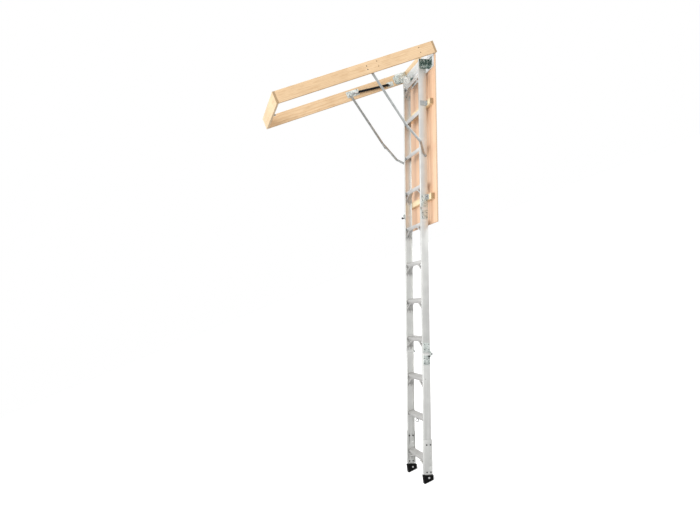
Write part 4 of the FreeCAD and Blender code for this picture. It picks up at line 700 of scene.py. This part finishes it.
# ---------------------------------------------------------------- gas struts
# A black painted cylinder with a bright eye at its foot, and a polished rod that
# runs out of it to the crank on the upper arm.
paint, shader, add, join = start_material("black_strut_paint")
coords = add("ShaderNodeTexCoord")
cloud = add("ShaderNodeTexNoise", Vector=coords.outputs["Object"], Scale=55.0, Detail=3.0)
join(shades(add, cloud.outputs["Fac"], (
    (0.3, (0.003, 0.003, 0.0035)), (0.7, (0.008, 0.008, 0.009)))), "Base Color")
shine = add("ShaderNodeMapRange", Value=cloud.outputs["Fac"], n3=0.42, n4=0.56)
join(shine.outputs[0], "Roughness")
shader.inputs["Specular IOR Level"].default_value = 0.25
polished, shader, add, join = start_material("polished_rod")
coords = add("ShaderNodeTexCoord")
rings = add("ShaderNodeTexNoise", Vector=coords.outputs["Object"], Scale=900.0, Detail=1.0)
join(shades(add, rings.outputs["Fac"], ((0.3, (0.70, 0.71, 0.72)), (0.7, (0.80, 0.80, 0.81)))), "Base Color")
shader.inputs["Metallic"].default_value = 1.0
shader.inputs["Roughness"].default_value = 0.14
ANCHOR = Vector((0.481, 0, 0.022))
EYE_REACH = 0.0145
for side in ("right", "left"):
    cylinder = softened(f"strut_cylinder_{side}", 0.0007, 3)
    fasten(cylinder, f"strut_cylinder_{side}", "strut_black", paint, f"strut_cylinder_{side}")
    cylinder.data.materials.append(bright_plate)
    for face in cylinder.data.polygons:
        reach = Vector((face.center.x, 0, face.center.z)) - ANCHOR
        face.material_index = 1 if reach.length < EYE_REACH else 0
    rod = softened(f"strut_rod_{side}", 0.0004)
    fasten(rod, f"strut_rod_{side}", "rod_steel", polished, f"strut_rod_{side}")

# ---------------------------------------------------------------- rubber feet
# Moulded black rubber wedges with rounded edges, slotted for the tab that they hang
# on, and with grip grooves across the sole.
rubber, shader, add, join = start_material("black_rubber")
coords = add("ShaderNodeTexCoord")
grit = add("ShaderNodeTexNoise", Vector=coords.outputs["Object"], Scale=520.0, Detail=3.0)
dust = add("ShaderNodeTexNoise", Vector=coords.outputs["Object"], Scale=45.0, Detail=4.0)
join(shades(add, dust.outputs["Fac"], (
    (0.4, (0.003, 0.003, 0.003)), (0.62, (0.006, 0.006, 0.006)), (0.8, (0.016, 0.015, 0.014)))), "Base Color")
shine = add("ShaderNodeMapRange", Value=dust.outputs["Fac"], n3=0.55, n4=0.85)
join(shine.outputs[0], "Roughness")
relief = add("ShaderNodeBump", Height=grit.outputs["Fac"], Strength=0.25, Distance=0.0004)
join(relief.outputs["Normal"], "Normal")
shader.inputs["Specular IOR Level"].default_value = 0.08
GROOVE_COUNT, FIRST_GROOVE, GROOVE_PITCH = 7, 0.016, 0.010
GROOVE = (0.003, 0.08, 0.004)
for side in ("right", "left"):
    foot = softened(f"foot_{side}", 0.0022, 3)
    low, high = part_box(f"foot_{side}")
    tools = []
    for step in range(GROOVE_COUNT):
        x = low[0] + FIRST_GROOVE + step * GROOVE_PITCH
        bpy.ops.mesh.primitive_cube_add(size=1, location=(x, (low[1] + high[1]) / 2, low[2]), scale=GROOVE)
        tools.append(bpy.context.object)
    drilled(foot, tools)
    smooth(foot, 32)
    fasten(foot, f"foot_{side}", "rubber", rubber, f"foot_{side}")

# ---------------------------------------------------------------- lock knobs
# Black moulded knobs with three finger grips, one at each fold.
moulded, shader, add, join = start_material("black_knob_plastic")
coords = add("ShaderNodeTexCoord")
grain = add("ShaderNodeTexNoise", Vector=coords.outputs["Object"], Scale=900.0, Detail=2.0)
cloud = add("ShaderNodeTexNoise", Vector=coords.outputs["Object"], Scale=120.0, Detail=3.0)
join(shades(add, cloud.outputs["Fac"], (
    (0.3, (0.018, 0.018, 0.018)), (0.7, (0.035, 0.035, 0.036)))), "Base Color")
relief = add("ShaderNodeBump", Height=grain.outputs["Fac"], Strength=0.15, Distance=0.0002)
join(relief.outputs["Normal"], "Normal")
shader.inputs["Roughness"].default_value = 0.42
for level in ("upper", "lower"):
    knob = softened(f"{level}_lock_knob", 0.0009, 3)
    fasten(knob, f"{level}_lock_knob", "knob_black", moulded, f"{level}_lock_knob")
